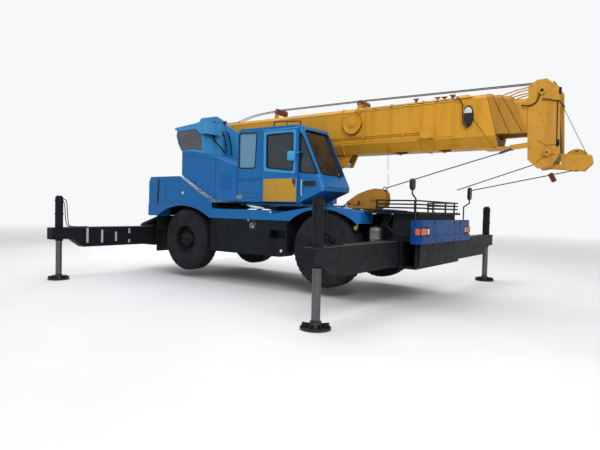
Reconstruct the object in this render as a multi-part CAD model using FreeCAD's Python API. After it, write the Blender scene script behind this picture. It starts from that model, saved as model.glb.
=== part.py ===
import FreeCAD, Part
import math
import os

V = FreeCAD.Vector

# Lengths are in mm. X runs forward from the rear axle while the pieces are
# made, Y to the left and Z up from the underside of the outrigger floats.
WHEELBASE = 3650.0
TYRE_OD = 1360.0
TYRE_WIDTH = 385.0
TYRE_OUTER_Y = 1260.0
WHEEL_LIFT = 161.0
RIM_R = 317.0
KINGPIN_Y = 900.0
KINGPIN_R = 30.0
SPINDLE_R = 62.0
BEAD = 12.0
AXLE_R = 105.0
SLEW_X = 2250.0

SPREAD_Y = 3300.0
BEAM_W = 200.0
BEAM_PITCH = 260.0
BEAM_TOP = 1070.0
BEAM_BOTTOM = 655.0
BEAM_END_BOTTOM = 830.0
BEAM_END_Y = 3495.0
BEAM_INNER_Y = 700.0
BEAM_WALL = 14.0
BEAM_CLEAR = 10.0
BOX_HALF_Y = 1030.0
BOX_WALL = 25.0
FRONT_BOX_X = WHEELBASE + 1400.0
REAR_BOX_X = -1640.0
JACK_TUBE_R = 77.0
JACK_TOP = 1700.0
JACK_BOTTOM = 800.0
JACK_ROD_R = 60.0
JACK_BORE_CLEAR = 3.0
FLOAT_R = 205.0
FLOAT_T = 30.0

BAND_TOP = 1530.0
BAND_BOTTOM = 1340.0
ARCH_CREST = 1585.0
FENDER_T = 18.0
SIDE_Y = 1300.0
SKIRT_BOTTOM = 650.0
SKIRT_X0 = 828.0
SKIRT_X1 = WHEELBASE - 792.0
SKIRT_IN_Y = 905.0
SKIRT_SINK = 12.0
STEP_X = SKIRT_X1 - 418.0
STEP_LENGTH = 390.0
STEP_LOW = 997.0
STEP_HIGH = 1150.0
CAP_X = SKIRT_X1 - 872.0
CAP_Z = 1220.0
CAP_R = 108.0

HOOD_REAR_X = -1250.0
HOOD_FRONT_X = 850.0
HOOD_TOP = 2235.0
HOOD_BASE = 1607.0
HOOD_LOW = 1665.0
HOOD_CONE_R0 = 1880.0
HOOD_CONE_R1 = 2750.0
HOOD_WALL = 20.0
SLIT_TOP_X = -919.0
SLIT_LOW_X = -964.0
SLIT_W = 62.0
PANEL_SINK = 6.0
LOUVRES = 9
LOUVRE_PITCH = 52.0
LOUVRE_HALF_Y = 700.0

FRAME_HALF_Y = 425.0
FRAME_TOP = 1300.0
FRAME_LOW = 640.0
FRAME_ARCH = 985.0
ARCH_HALF = 480.0
RING_R = 560.0
RING_TOP = 1600.0

DECK_Z = 1560.0
DECK_STEP_X = WHEELBASE + 780.0
DECK_FRONT_X = WHEELBASE + 1680.0
RAIL_X = WHEELBASE + 1110.0
RAIL_R = 13.0
BUMPER_X = WHEELBASE + 1710.0
BUMPER_HALF_Y = 1270.0
BUMPER_TOP = 1430.0
BUMPER_BOTTOM = 1050.0
BUMPER_LIP = 108.0
LAMP_IN_Y = 880.0
LAMP_OUT_Y = 1215.0
LAMP_LOW = 1190.0
LAMP_HIGH = 1300.0
LAMP_CLEAR = 3.0
LAMP_DEPTH_X = 79.0
HOOK_X = WHEELBASE + 335.0
FLAP_X = -950.0
FLAP_BOTTOM = 520.0
MIRROR_X = BUMPER_X - 20.0
MIRROR_Y = 1165.0
MIRROR_HALF_Y = 65.0
# each deck mirror's side, x, lower and upper height
DECK_MIRRORS = ((-1, MIRROR_X - 45.0, 1907.0, 2091.0), (1, MIRROR_X + 95.0, 1820.0, 2065.0))

UPPER_Z = 1620.0
PLATE_Y = 420.0
BODY_Y = 1250.0
BODY_WALL = 25.0
# the sloping underside over the hood, as x and height
BODY_UNDER = ((50.0, 2150.0), (905.0, 1712.0))
DRUMS = ((60.0, 2480.0), (480.0, 2330.0))
DRUM_R = 150.0
FLANGE_R = 205.0
WINCH_IN_Y = 680.0
HOUSE_FOOT = ((560.0, 2715.0), (200.0, 2770.0), (-150.0, 2790.0))
CAB_Z = 1685.0
CAB_REAR_X = 1570.0
CAB_FRONT_X = 3645.0
CAB_LENGTH = CAB_FRONT_X - CAB_REAR_X
CAB_RIGHT_Y = -1280.0
CAB_LEFT_Y = -370.0
CAB_ROOF = 3115.0
CAB_WALL = 40.0
CAB_CORNER_R = 110.0
SCREEN_FOOT_Z = 1985.0
SCREEN_RUN = 0.258 * CAB_LENGTH
SCREEN_RISE = 1110.0
DOOR_X0 = CAB_REAR_X + 0.3205 * CAB_LENGTH
DOOR_X1 = CAB_REAR_X + 0.735 * CAB_LENGTH
DOOR_T = 30.0
DOOR_GAP = 6.0
# x and height of each corner of the door's window
DOOR_WINDOW = ((DOOR_X0 + 125.0, 2342.0), (DOOR_X1 - 115.0, 2274.0), (DOOR_X1 - 118.0, 2961.0),
               (DOOR_X0 + 115.0, 2963.0))

PIVOT_X = -140.0
PIVOT_Z = 3300.0
BOOM_TOP = 3505.0
BOOM_BOTTOM = 2650.0
BOOM_HALF_Y = 320.0
BOOM_CHINE = 170.0
BOOM_WALL = 12.0
SECTION_CLEAR = 16.0
BOOM_SILL = 2845.0
BASE_FRONT = (6130.0, 6300.0)
SECTION_FRONTS = ((6205.0, 6498.0), (6325.0, 6688.0), (6470.0, 6735.0))
FRONT_GAP = 8.0
TIP_END_X = 6860.0
SECTION_OVERLAP_X = 700.0

LIFT_FOOT_X = 800.0
LIFT_FOOT_Z = 1900.0
PIN_CLEAR = 0.05
RUN_CLEAR = 0.3
LIFT_EYE_X = 3330.0
LIFT_EYE_Z = 2500.0
LIFT_BARREL_R = 110.0
LIFT_ROD_R = 75.0
FOOT_PIN_R = 50.0
BOOM_PIN_R = 60.0

HEAD_X = 6950.0
HEAD_Z = 3475.0
HEAD_HALF_Y = 212.0
LOW_PIN_X = 7050.0
LOW_PIN_Z = 2520.0
AUX_X = 7425.0
AUX_Z = 2406.0
AUX_R = 172.0
ROLLER_X = (1640.0, 3700.0)
ROLLER_Z = (3668.0, 3632.0)
ROLLER_R = 68.0
HOOK_Y = -870.0
HOOK_HALF = 97.0


def box(x0, x1, y0, y1, z0, z1):
    return Part.makeBox(x1 - x0, y1 - y0, z1 - z0, V(x0, y0, z0))


def face(points):
    return Part.Face(Part.makePolygon(points + [points[0]]))


def slab_y(xz, y0, y1):
    return face([V(x, y0, z) for x, z in xz]).extrude(V(0, y1 - y0, 0))


def slab_x(yz, x0, x1):
    return face([V(x0, y, z) for y, z in yz]).extrude(V(x1 - x0, 0, 0))


def slab_z(xy, z0, z1):
    return face([V(x, y, z0) for x, y in xy]).extrude(V(0, 0, z1 - z0))


def cylinder(p, d, r, h):
    return Part.makeCylinder(r, h, V(*p), V(*d))


def single(shape):
    return shape.Solids[0] if len(shape.Solids) == 1 else shape


def join(shapes):
    out = shapes[0].fuse(shapes[1:]) if len(shapes) > 1 else shapes[0]
    return single(out.removeSplitter())


def mirrored(shape):
    return shape.mirror(V(0, 0, 0), V(0, 1, 0))


def pipe_run(points, r):
    # a round tube along straight runs with mitred corners
    wire = Part.makePolygon([V(*p) for p in points])
    start = V(*points[0])
    ring = Part.Wire(Part.makeCircle(r, start, V(*points[1]).sub(start)))
    return wire.makePipeShell([ring], True, False, 1)


def revolved(profile, origin, axis_y=True):
    # profile pairs are (radius, offset along Y)
    pts = [V(origin[0] + r, origin[1] + y, origin[2]) for r, y in profile]
    return face(pts).revolve(V(*origin), V(0, 1, 0), 360)


def arc_under(centre_x, half, crest, foot):
    sag = crest - foot
    radius = (half * half + sag * sag) / (2 * sag)
    return centre_x, crest - radius, radius


def arch_cutter(centre_x, half, crest, foot, y0, y1, grow=0.0):
    cx, cz, radius = arc_under(centre_x, half, crest, foot)
    return cylinder((cx, y0, cz), (0, 1, 0), radius + grow, y1 - y0)


ARCHES = (
    # centre x, half chord, crest height, foot height
    (-70.0, 860.0, ARCH_CREST, BAND_BOTTOM),
    (WHEELBASE - 20.0, 710.0, ARCH_CREST - 10.0, BAND_BOTTOM),
)
WHEEL_Z = WHEEL_LIFT + TYRE_OD / 2
WHEEL_Y = TYRE_OUTER_Y - TYRE_WIDTH / 2

CORNERS = (
    # name, side, axle x, beam x, box x
    ("front_right", -1, WHEELBASE, FRONT_BOX_X - BEAM_PITCH / 2),
    ("front_left", 1, WHEELBASE, FRONT_BOX_X + BEAM_PITCH / 2),
    ("rear_right", -1, 0.0, REAR_BOX_X + BEAM_PITCH / 2),
    ("rear_left", 1, 0.0, REAR_BOX_X - BEAM_PITCH / 2),
)


def chassis_frame():
    front = FRONT_BOX_X - BEAM_PITCH / 2 - BEAM_W / 2 - BEAM_CLEAR - BOX_WALL
    rear = REAR_BOX_X + BEAM_PITCH / 2 + BEAM_W / 2 + BEAM_CLEAR + BOX_WALL
    rear_top = FRAME_TOP - 75
    front_arch = WHEELBASE - ARCH_HALF
    side = [
        (rear, FRAME_LOW), (rear + 300, FRAME_LOW), (-ARCH_HALF, FRAME_ARCH), (ARCH_HALF, FRAME_ARCH),
        (ARCH_HALF + 320, FRAME_LOW), (front_arch - 320, FRAME_LOW), (front_arch, FRAME_ARCH),
        (WHEELBASE + ARCH_HALF, FRAME_ARCH), (front - 300, FRAME_LOW), (front, FRAME_LOW),
        (front, FRAME_TOP), (rear + 210, FRAME_TOP), (rear, rear_top),
    ]
    rails = [slab_y(side, s * FRAME_HALF_Y - 40, s * FRAME_HALF_Y + 40) for s in (-1, 1)]
    inner = FRAME_HALF_Y - 30
    # cross members as x, foot height and top height
    members = (
        (rear, FRAME_LOW, rear_top),
        (-60, FRAME_ARCH, FRAME_TOP),
        (SLEW_X - 1350, FRAME_LOW, FRAME_TOP),
        (SLEW_X - 650, FRAME_LOW, FRAME_TOP),
        (front_arch - 420, FRAME_LOW, FRAME_TOP),
        (WHEELBASE - 30, FRAME_ARCH, FRAME_TOP),
        (front - 60, FRAME_LOW, FRAME_TOP),
    )
    cross = [box(x, x + 60, -inner, inner, foot, top) for x, foot, top in members]
    top = box(rear + 210, front, -FRAME_HALF_Y - 60, FRAME_HALF_Y + 60, FRAME_TOP, FRAME_TOP + 20)
    pedestal = cylinder((SLEW_X, 0, FRAME_TOP), (0, 0, 1), RING_R + 40, 210)
    ring = cylinder((SLEW_X, 0, FRAME_TOP + 200), (0, 0, 1), RING_R, RING_TOP - FRAME_TOP - 200)
    hollow = cylinder((SLEW_X, 0, FRAME_TOP - 50), (0, 0, 1), RING_R - 90, 400)
    brackets = []
    for x in (SKIRT_X0 + 72, (SKIRT_X0 + SKIRT_X1) / 2, SKIRT_X1 - 178):
        for s in (-1, 1):
            ya, yb = sorted((s * FRAME_HALF_Y, s * SKIRT_IN_Y))
            brackets.append(box(x, x + 100, ya, yb, 1130, 1230))
    return join(rails + cross + [top, pedestal, ring] + brackets).cut(hollow)


def outrigger_box(centre, front):
    half = BEAM_PITCH / 2 + BEAM_W / 2 + BEAM_CLEAR + BOX_WALL
    z0 = BEAM_BOTTOM - BEAM_CLEAR - BOX_WALL
    z1 = BEAM_TOP + BEAM_CLEAR + BOX_WALL
    body = box(centre - half, centre + half, -BOX_HALF_Y, BOX_HALF_Y, z0, z1)
    for s in (-1, 1):
        x = centre + s * BEAM_PITCH / 2
        w = BEAM_W / 2 + BEAM_CLEAR
        body = body.cut(box(x - w, x + w, -BOX_HALF_Y - 5, BOX_HALF_Y + 5,
                            BEAM_BOTTOM - BEAM_CLEAR, BEAM_TOP + BEAM_CLEAR))
    extra = []
    for s in (-1, 1):
        x = centre + s * BEAM_PITCH / 2
        for y0, y1 in ((-BOX_HALF_Y, -BOX_HALF_Y + 80), (BOX_HALF_Y - 80, BOX_HALF_Y)):
            extra.append(box(x - 70, x + 70, y0, y1, BEAM_BOTTOM - BEAM_CLEAR - 5, BEAM_BOTTOM - RUN_CLEAR))
            extra.append(box(x - 70, x + 70, y0, y1, BEAM_TOP + RUN_CLEAR, BEAM_TOP + BEAM_CLEAR + 5))
    if front:
        extra.append(slab_y([(centre + half, z0 + 30), (centre + half + 35, z0 + 60),
                             (centre + half + 35, z1), (centre + half, z1)], -960, 960))
    else:
        x0 = centre - half
        extra.append(slab_y([(x0, z1), (x0, z1 + 25), (HOOD_REAR_X - 5, 1335),
                             (HOOD_REAR_X - 5, 1290), (x0 + 160, z1)],
                            -1000, 1000))
        for y in (-500, 500):
            extra.append(box(x0 - 45, x0, y - 60, y + 60, z0 + 40, z0 + 220))
    return join([body] + extra)


def beam(side, x):
    ya, yb = BEAM_INNER_Y, BEAM_END_Y
    bend = SPREAD_Y - 480
    rise = SPREAD_Y - 230
    outline = [(ya, BEAM_BOTTOM), (bend, BEAM_BOTTOM), (rise, BEAM_END_BOTTOM),
               (yb, BEAM_END_BOTTOM), (yb, BEAM_TOP), (ya, BEAM_TOP)]
    t = BEAM_WALL
    end = SPREAD_Y - JACK_TUBE_R - 70
    inner = [(ya - 5, BEAM_BOTTOM + t), (bend - 6, BEAM_BOTTOM + t), (rise - 6, BEAM_END_BOTTOM + t),
             (end, BEAM_END_BOTTOM + t), (end, BEAM_TOP - t), (ya - 5, BEAM_TOP - t)]
    body = slab_x(outline, x - BEAM_W / 2, x + BEAM_W / 2)
    body = body.cut(slab_x(inner, x - BEAM_W / 2 + t, x + BEAM_W / 2 - t))
    housing = cylinder((x, SPREAD_Y, JACK_BOTTOM), (0, 0, 1), JACK_TUBE_R, JACK_TOP - JACK_BOTTOM)
    cap = cylinder((x, SPREAD_Y, JACK_TOP), (0, 0, 1), JACK_TUBE_R - 22, 22)
    bore = cylinder((x, SPREAD_Y, JACK_BOTTOM + 45), (0, 0, 1), JACK_ROD_R + JACK_BORE_CLEAR,
                    JACK_TOP - JACK_BOTTOM - 75)
    gland = cylinder((x, SPREAD_Y, JACK_BOTTOM - 10), (0, 0, 1), JACK_ROD_R + PIN_CLEAR, 60)
    shape = join([body, housing, cap]).cut(bore).cut(gland)
    return shape if side > 0 else mirrored(shape)


def jack(side, x):
    rod = cylinder((x, SPREAD_Y, FLOAT_T), (0, 0, 1), JACK_ROD_R, 1000)
    shoe = Part.makeCone(92, 76, 68, V(x, SPREAD_Y, FLOAT_T), V(0, 0, 1))
    pad = cylinder((x, SPREAD_Y, 0), (0, 0, 1), FLOAT_R, FLOAT_T)
    shape = join([rod, shoe, pad])
    return shape if side > 0 else mirrored(shape)


def axle(x):
    tube = cylinder((x, -KINGPIN_Y + 120, WHEEL_Z), (0, 1, 0), AXLE_R, 2 * (KINGPIN_Y - 120))
    diff = Part.makeSphere(150, V(x, 0, WHEEL_Z - 10))
    pieces = [tube, diff]
    for s in (-1, 1):
        y = s * FRAME_HALF_Y
        pieces.append(box(x - 110, x + 110, y - 60, y + 60, WHEEL_Z, FRAME_ARCH))
        ya, yb = sorted((s * (KINGPIN_Y - 130), s * (KINGPIN_Y + 45)))
        for z in (WHEEL_Z + 118, WHEEL_Z - 158):
            pieces.append(box(x - 60, x + 60, ya, yb, z, z + 40))
        yc, yd = sorted((s * (KINGPIN_Y - 180), s * (KINGPIN_Y - 120)))
        pieces.append(box(x - 60, x + 60, yc, yd, WHEEL_Z - 158, WHEEL_Z + 158))
    shape = join(pieces)
    for s in (-1, 1):
        shape = shape.cut(cylinder((x, s * KINGPIN_Y, WHEEL_Z - 200), (0, 0, 1), KINGPIN_R + PIN_CLEAR, 400))
    return shape


def knuckle(side, x):
    block = cylinder((x, KINGPIN_Y, WHEEL_Z - 112), (0, 0, 1), 58, 224)
    kingpin = cylinder((x, KINGPIN_Y, WHEEL_Z - 165), (0, 0, 1), KINGPIN_R, 330)
    spindle = cylinder((x, KINGPIN_Y, WHEEL_Z), (0, 1, 0), SPINDLE_R, 250)
    drum = cylinder((x, KINGPIN_Y + 105, WHEEL_Z), (0, 1, 0), 170, 85)
    # the steering arm points ahead on the front axle and back on the rear one
    reach = 200 if x > 0 else -200
    xa, xb = sorted((x, x + reach))
    arm = box(xa, xb, KINGPIN_Y - 30, KINGPIN_Y + 30, WHEEL_Z - 100, WHEEL_Z - 60)
    shape = join([block, kingpin, spindle, drum, arm])
    return shape if side > 0 else mirrored(shape)


def rim(side, x):
    o = (x, WHEEL_Y, WHEEL_Z)
    half = TYRE_WIDTH / 2
    bore = SPINDLE_R + PIN_CLEAR
    profile = [
        (bore, 40), (240, 40), (RIM_R - 32, -40), (RIM_R - 32, -half + 25), (RIM_R, -half + BEAD),
        (RIM_R, half - BEAD), (RIM_R - 22, half - BEAD), (RIM_R - 52, 62), (195, 68), (145, 150), (bore, 150),
    ]
    shape = revolved(profile, o)
    cap = cylinder((x, WHEEL_Y + 100, WHEEL_Z), (0, 1, 0), 100, 55)
    shape = join([shape, cap])
    return shape if side > 0 else mirrored(shape)


def tyre(side, x):
    o = (x, WHEEL_Y, WHEEL_Z)
    r = TYRE_OD / 2
    half = TYRE_WIDTH / 2
    shoulder = half - 55
    profile = [
        (RIM_R, -half + BEAD), (r - 150, -half), (r, -shoulder), (r, shoulder), (r - 150, half),
        (RIM_R, half - BEAD),
    ]
    shape = revolved(profile, o)
    return shape if side > 0 else mirrored(shape)


def skirt(side):
    outline = [(SKIRT_X0, SKIRT_BOTTOM), (SKIRT_X1 - 158, SKIRT_BOTTOM), (SKIRT_X1, SKIRT_BOTTOM + 90),
               (SKIRT_X1, BAND_BOTTOM), (SKIRT_X0, BAND_BOTTOM)]
    wall_y = SIDE_Y - SKIRT_SINK
    body = slab_y(outline, SKIRT_IN_Y, wall_y)
    back_y = wall_y - 138
    recess = box(STEP_X, STEP_X + STEP_LENGTH, back_y, SIDE_Y, STEP_LOW, STEP_HIGH)
    tread = box(STEP_X, STEP_X + STEP_LENGTH, back_y, wall_y + 8, STEP_LOW - 14, STEP_LOW + 2)
    foot = (CAP_X, wall_y - 8, CAP_Z)
    cap = cylinder(foot, (0, 1, 0), CAP_R, 18).cut(cylinder(foot, (0, 1, 0), CAP_R - 13, 30))
    shape = join([body.cut(recess), tread, cap])
    return shape if side > 0 else mirrored(shape)


def fender(side):
    t = FENDER_T
    crest = ARCH_CREST + t + 4
    step_x = WHEELBASE - 1150
    # top line from the front end back to the hood, as x and height
    top = [(DECK_STEP_X, BAND_TOP), (WHEELBASE + 530, BAND_TOP + 45), (WHEELBASE + 200, crest),
           (WHEELBASE - 220, crest), (WHEELBASE - 590, BAND_TOP + 20), (step_x, BAND_TOP - 70)]
    outline = [(HOOD_REAR_X, BAND_BOTTOM), (DECK_STEP_X, BAND_BOTTOM)] + top
    outline += [(step_x, BAND_TOP), (HOOD_FRONT_X + 40, BAND_TOP), (HOOD_FRONT_X - 120, crest),
                (HOOD_REAR_X, crest)]
    outer = slab_y(outline, KINGPIN_Y - 20, SIDE_Y)
    low = [(DECK_STEP_X - t, BAND_TOP - t), (WHEELBASE + 525, BAND_TOP + 45 - t),
           (WHEELBASE + 195, crest - t), (WHEELBASE - 215, crest - t), (WHEELBASE - 585, BAND_TOP + 2),
           (step_x + t, BAND_TOP - 70 - t)]
    hollow_line = [(HOOD_REAR_X + t, BAND_BOTTOM - 10), (DECK_STEP_X - t, BAND_BOTTOM - 10)] + low
    hollow_line += [(step_x - t, BAND_TOP - 70 - t), (step_x - t, BAND_TOP - t),
                    (HOOD_FRONT_X + 32, BAND_TOP - t), (HOOD_FRONT_X - 128, crest - t),
                    (HOOD_REAR_X + t, crest - t)]
    hollow = slab_y(hollow_line, KINGPIN_Y - 40, SIDE_Y - t)
    shape = outer.cut(hollow)
    for cx, half, crown, foot in ARCHES:
        shape = shape.cut(arch_cutter(cx, half, crown, foot, KINGPIN_Y - 60, SIDE_Y + 10))
    flap = box(FLAP_X - 5, FLAP_X + 5, KINGPIN_Y, SIDE_Y - t, FLAP_BOTTOM, crest - t)
    shape = join([shape, flap])
    return shape if side > 0 else mirrored(shape)


def cone_cutter(drop):
    # the sweep of the upper works over the hood, as radius and height
    profile = [(0, HOOD_LOW + drop), (HOOD_CONE_R0, HOOD_LOW + drop), (HOOD_CONE_R1, HOOD_TOP + drop),
               (HOOD_CONE_R1, 3000), (0, 3000)]
    pts = [V(SLEW_X + r, 0, z) for r, z in profile]
    return face(pts).revolve(V(SLEW_X, 0, 0), V(0, 0, 1), 360)


def engine_hood():
    line = [(HOOD_REAR_X, HOOD_BASE), (HOOD_FRONT_X - 120, HOOD_BASE),
            (HOOD_FRONT_X, BAND_TOP + 0.25 * (HOOD_BASE - BAND_TOP)), (HOOD_FRONT_X, HOOD_TOP),
            (HOOD_REAR_X + 70, HOOD_TOP), (HOOD_REAR_X, HOOD_TOP - 110)]
    t = HOOD_WALL
    inner = [(HOOD_REAR_X + t, HOOD_BASE - 90), (HOOD_FRONT_X - t, HOOD_BASE - 90),
             (HOOD_FRONT_X - t, HOOD_TOP - t), (HOOD_REAR_X + 78, HOOD_TOP - t),
             (HOOD_REAR_X + t, HOOD_TOP - 118)]
    y = SIDE_Y - SKIRT_SINK
    shape = slab_y(line, -y, y).cut(cone_cutter(0.0))
    shape = shape.cut(slab_y(inner, -y + t, y - t).cut(cone_cutter(-t)))
    high = HOOD_TOP - 60
    slit = [(SLIT_TOP_X, high), (SLIT_TOP_X + SLIT_W, high), (SLIT_LOW_X + SLIT_W, HOOD_BASE),
            (SLIT_LOW_X, HOOD_BASE)]
    panel = [(SLIT_TOP_X + 115, high), (SLIT_TOP_X + 261, high - 154), (SLIT_TOP_X + 293, HOOD_BASE + 68),
             (HOOD_FRONT_X - 225, HOOD_BASE + 93), (-24, high - 42)]
    for outline in (slit, panel):
        recess = slab_y(outline, y - PANEL_SINK, y + 10)
        shape = shape.cut(recess).cut(mirrored(recess))
    for i in range(LOUVRES):
        z = HOOD_BASE + 93 + i * LOUVRE_PITCH
        shape = shape.cut(box(HOOD_REAR_X - 10, HOOD_REAR_X + 8, -LOUVRE_HALF_Y, LOUVRE_HALF_Y,
                              z, z + LOUVRE_PITCH / 2))
    rear = box(HOOD_REAR_X, HOOD_REAR_X + t, -KINGPIN_Y + 20, KINGPIN_Y - 20, BAND_BOTTOM, HOOD_BASE + 20)
    return join([shape, rear])


def engine():
    return box(-1050, 0, -400, 400, FRAME_TOP + 20, 1880)


def front_deck():
    side = KINGPIN_Y - 24
    edge = DECK_STEP_X + 370
    plan = [(DECK_STEP_X, -1180), (edge, -1180), (edge, -1000), (DECK_FRONT_X, -1000), (DECK_FRONT_X, 1000),
            (edge, 1000), (edge, 1180), (DECK_STEP_X, 1180)]
    plate = slab_z(plan, DECK_Z - 40, DECK_Z)
    front = front_x()
    body = box(SLEW_X + RING_R + 240, DECK_STEP_X + 10, -side, side, DECK_Z - 30, DECK_Z)
    legs = [box(x, x + 100, s * 380 - 40, s * 380 + 40, FRAME_TOP + 20, DECK_Z - 25)
            for s in (-1, 1) for x in (SLEW_X + RING_R + 490, front - 400)]
    low = BEAM_TOP + BEAM_CLEAR + BOX_WALL
    nose = box(front + 40, front + 480, -900, 900, low, DECK_Z - 40)
    nose = nose.cut(box(front + 60, front + 460, -880, 880, low - 5, DECK_Z - 60))
    return join([plate, body, nose] + legs + deck_rail())


def deck_rail():
    bend_x = DECK_FRONT_X - 40
    tall = 185
    run = [(RAIL_X - 150, -1120), (RAIL_X, -1120), (RAIL_X, -940), (bend_x, -940), (bend_x, 940),
           (RAIL_X, 940), (RAIL_X, 1120), (RAIL_X - 150, 1120)]
    pieces = [pipe_run([(x, y, DECK_Z + z) for x, y in run], RAIL_R) for z in (65, 125, tall)]
    for x, y in ((RAIL_X - 130, -1120), (RAIL_X - 130, 1120), (bend_x - 60, -940), (bend_x - 60, 940),
                 (bend_x, -300), (bend_x, 300)):
        pieces.append(cylinder((x, y, DECK_Z - 5), (0, 0, 1), RAIL_R + 3, tall))
    return pieces


def front_x():
    return FRONT_BOX_X - BEAM_PITCH / 2 - BEAM_W / 2 - BEAM_CLEAR - BOX_WALL


def front_bumper():
    y = BUMPER_HALF_Y
    back = BUMPER_X - 45
    plan = [(back, -y), (BUMPER_X + 30, -y), (BUMPER_X + 85, -y + 55), (BUMPER_X + 100, -y + 130),
            (BUMPER_X + 100, y - 130), (BUMPER_X + 85, y - 55), (BUMPER_X + 30, y), (back, y)]
    body = slab_z(plan, BUMPER_BOTTOM + BUMPER_LIP - 2, BUMPER_TOP)
    lip = slab_z([(x + 15 if x > back else x, yy * 1.008) for x, yy in plan], BUMPER_BOTTOM,
                 BUMPER_BOTTOM + BUMPER_LIP)
    shape = join([body, lip])
    hollow = slab_z([(back - 10, -y + 25), (BUMPER_X + 60, -y + 40), (BUMPER_X + 75, -y + 130),
                     (BUMPER_X + 75, y - 130), (BUMPER_X + 60, y - 40), (back - 10, y - 25)],
                    BUMPER_BOTTOM - 5, BUMPER_TOP - 20)
    shape = shape.cut(hollow)
    for s in (-1, 1):
        shape = shape.cut(lamp_recess(s))
    low = BUMPER_BOTTOM + 10
    stays = [box(FRONT_BOX_X + 300, BUMPER_X + 80, y - 30, y + 30, low, low + 40) for y in (-700, 700)]
    return join([shape] + stays)


def lamp_recess(side):
    x = BUMPER_X + LAMP_DEPTH_X
    gap = LAMP_CLEAR
    shape = box(x, x + 60, LAMP_IN_Y, LAMP_OUT_Y, LAMP_LOW - gap, LAMP_HIGH + gap)
    return shape if side > 0 else mirrored(shape)


def front_lamp(side):
    x = BUMPER_X + LAMP_DEPTH_X
    split = LAMP_IN_Y + 95
    inner, outer = LAMP_IN_Y + LAMP_CLEAR, LAMP_OUT_Y - LAMP_CLEAR
    turn = box(x, x + 26, split + 13, outer, LAMP_LOW, LAMP_HIGH)
    head = box(x, x + 26, inner, split - 13, LAMP_LOW + 5, LAMP_HIGH - 5)
    plate = box(x, x + 8, inner, outer, LAMP_LOW + 5, LAMP_HIGH - 5)
    shape = join([plate, turn, head])
    return shape if side > 0 else mirrored(shape)


def rear_lamps():
    x = REAR_BOX_X - BEAM_PITCH / 2 - BEAM_W / 2 - BEAM_CLEAR - BOX_WALL
    bar = box(x - 22, x, -960, 960, 1000, 1100)
    pieces = [bar]
    for s in (-1, 1):
        ya, yb = sorted((s * 720, s * 960))
        pieces.append(box(x - 62, x - 22, ya, yb, 985, 1110))
    return join(pieces)


def deck_mirror(side, x, low, high):
    out = MIRROR_Y + 40
    r = MIRROR_HALF_Y
    post = pipe_run([(MIRROR_X, MIRROR_Y, BUMPER_TOP), (MIRROR_X, MIRROR_Y, low - 140), (x, out, low - 60),
                     (x, out, high - r)], RAIL_R)
    ends = [Part.makeCylinder(r, 50, V(x - 25, out, z), V(1, 0, 0)) for z in (low + r, high - r)]
    shape = join([post, box(x - 25, x + 25, out - r, out + r, low + r, high - r)] + ends)
    return shape if side > 0 else mirrored(shape)


def hook_block():
    # cheek outline from the lower rear corner round to the lower front one,
    # as x ahead of the pin and height over the deck
    outline = [(0, 38), (-37, 98), (-55, 148), (170, 290), (353, 357), (512, 390), (651, 374), (713, 303),
               (731, 194), (705, 80), (575, 38)]
    cheek = [(HOOK_X + x, DECK_Z + z) for x, z in outline]
    y = HOOK_Y
    plates = [slab_y(cheek, y + a * HOOK_HALF - 10, y + a * HOOK_HALF + 10) for a in (-0.78, 0.78)]
    middle = ((75, 80), (75, 190), (195, 270), (575, 340), (635, 80))
    core = slab_y([(HOOK_X + x, DECK_Z + z) for x, z in middle], y - 72, y + 72)
    pin = cylinder((HOOK_X + 158, y - 120, DECK_Z + 140), (0, 1, 0), 36, 240)
    feet = [box(HOOK_X + x, HOOK_X + x + 80, y + 2, y + 62, DECK_Z, DECK_Z + 100) for x in (65, 345)]
    return join(plates + [core, pin] + feet)


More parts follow.
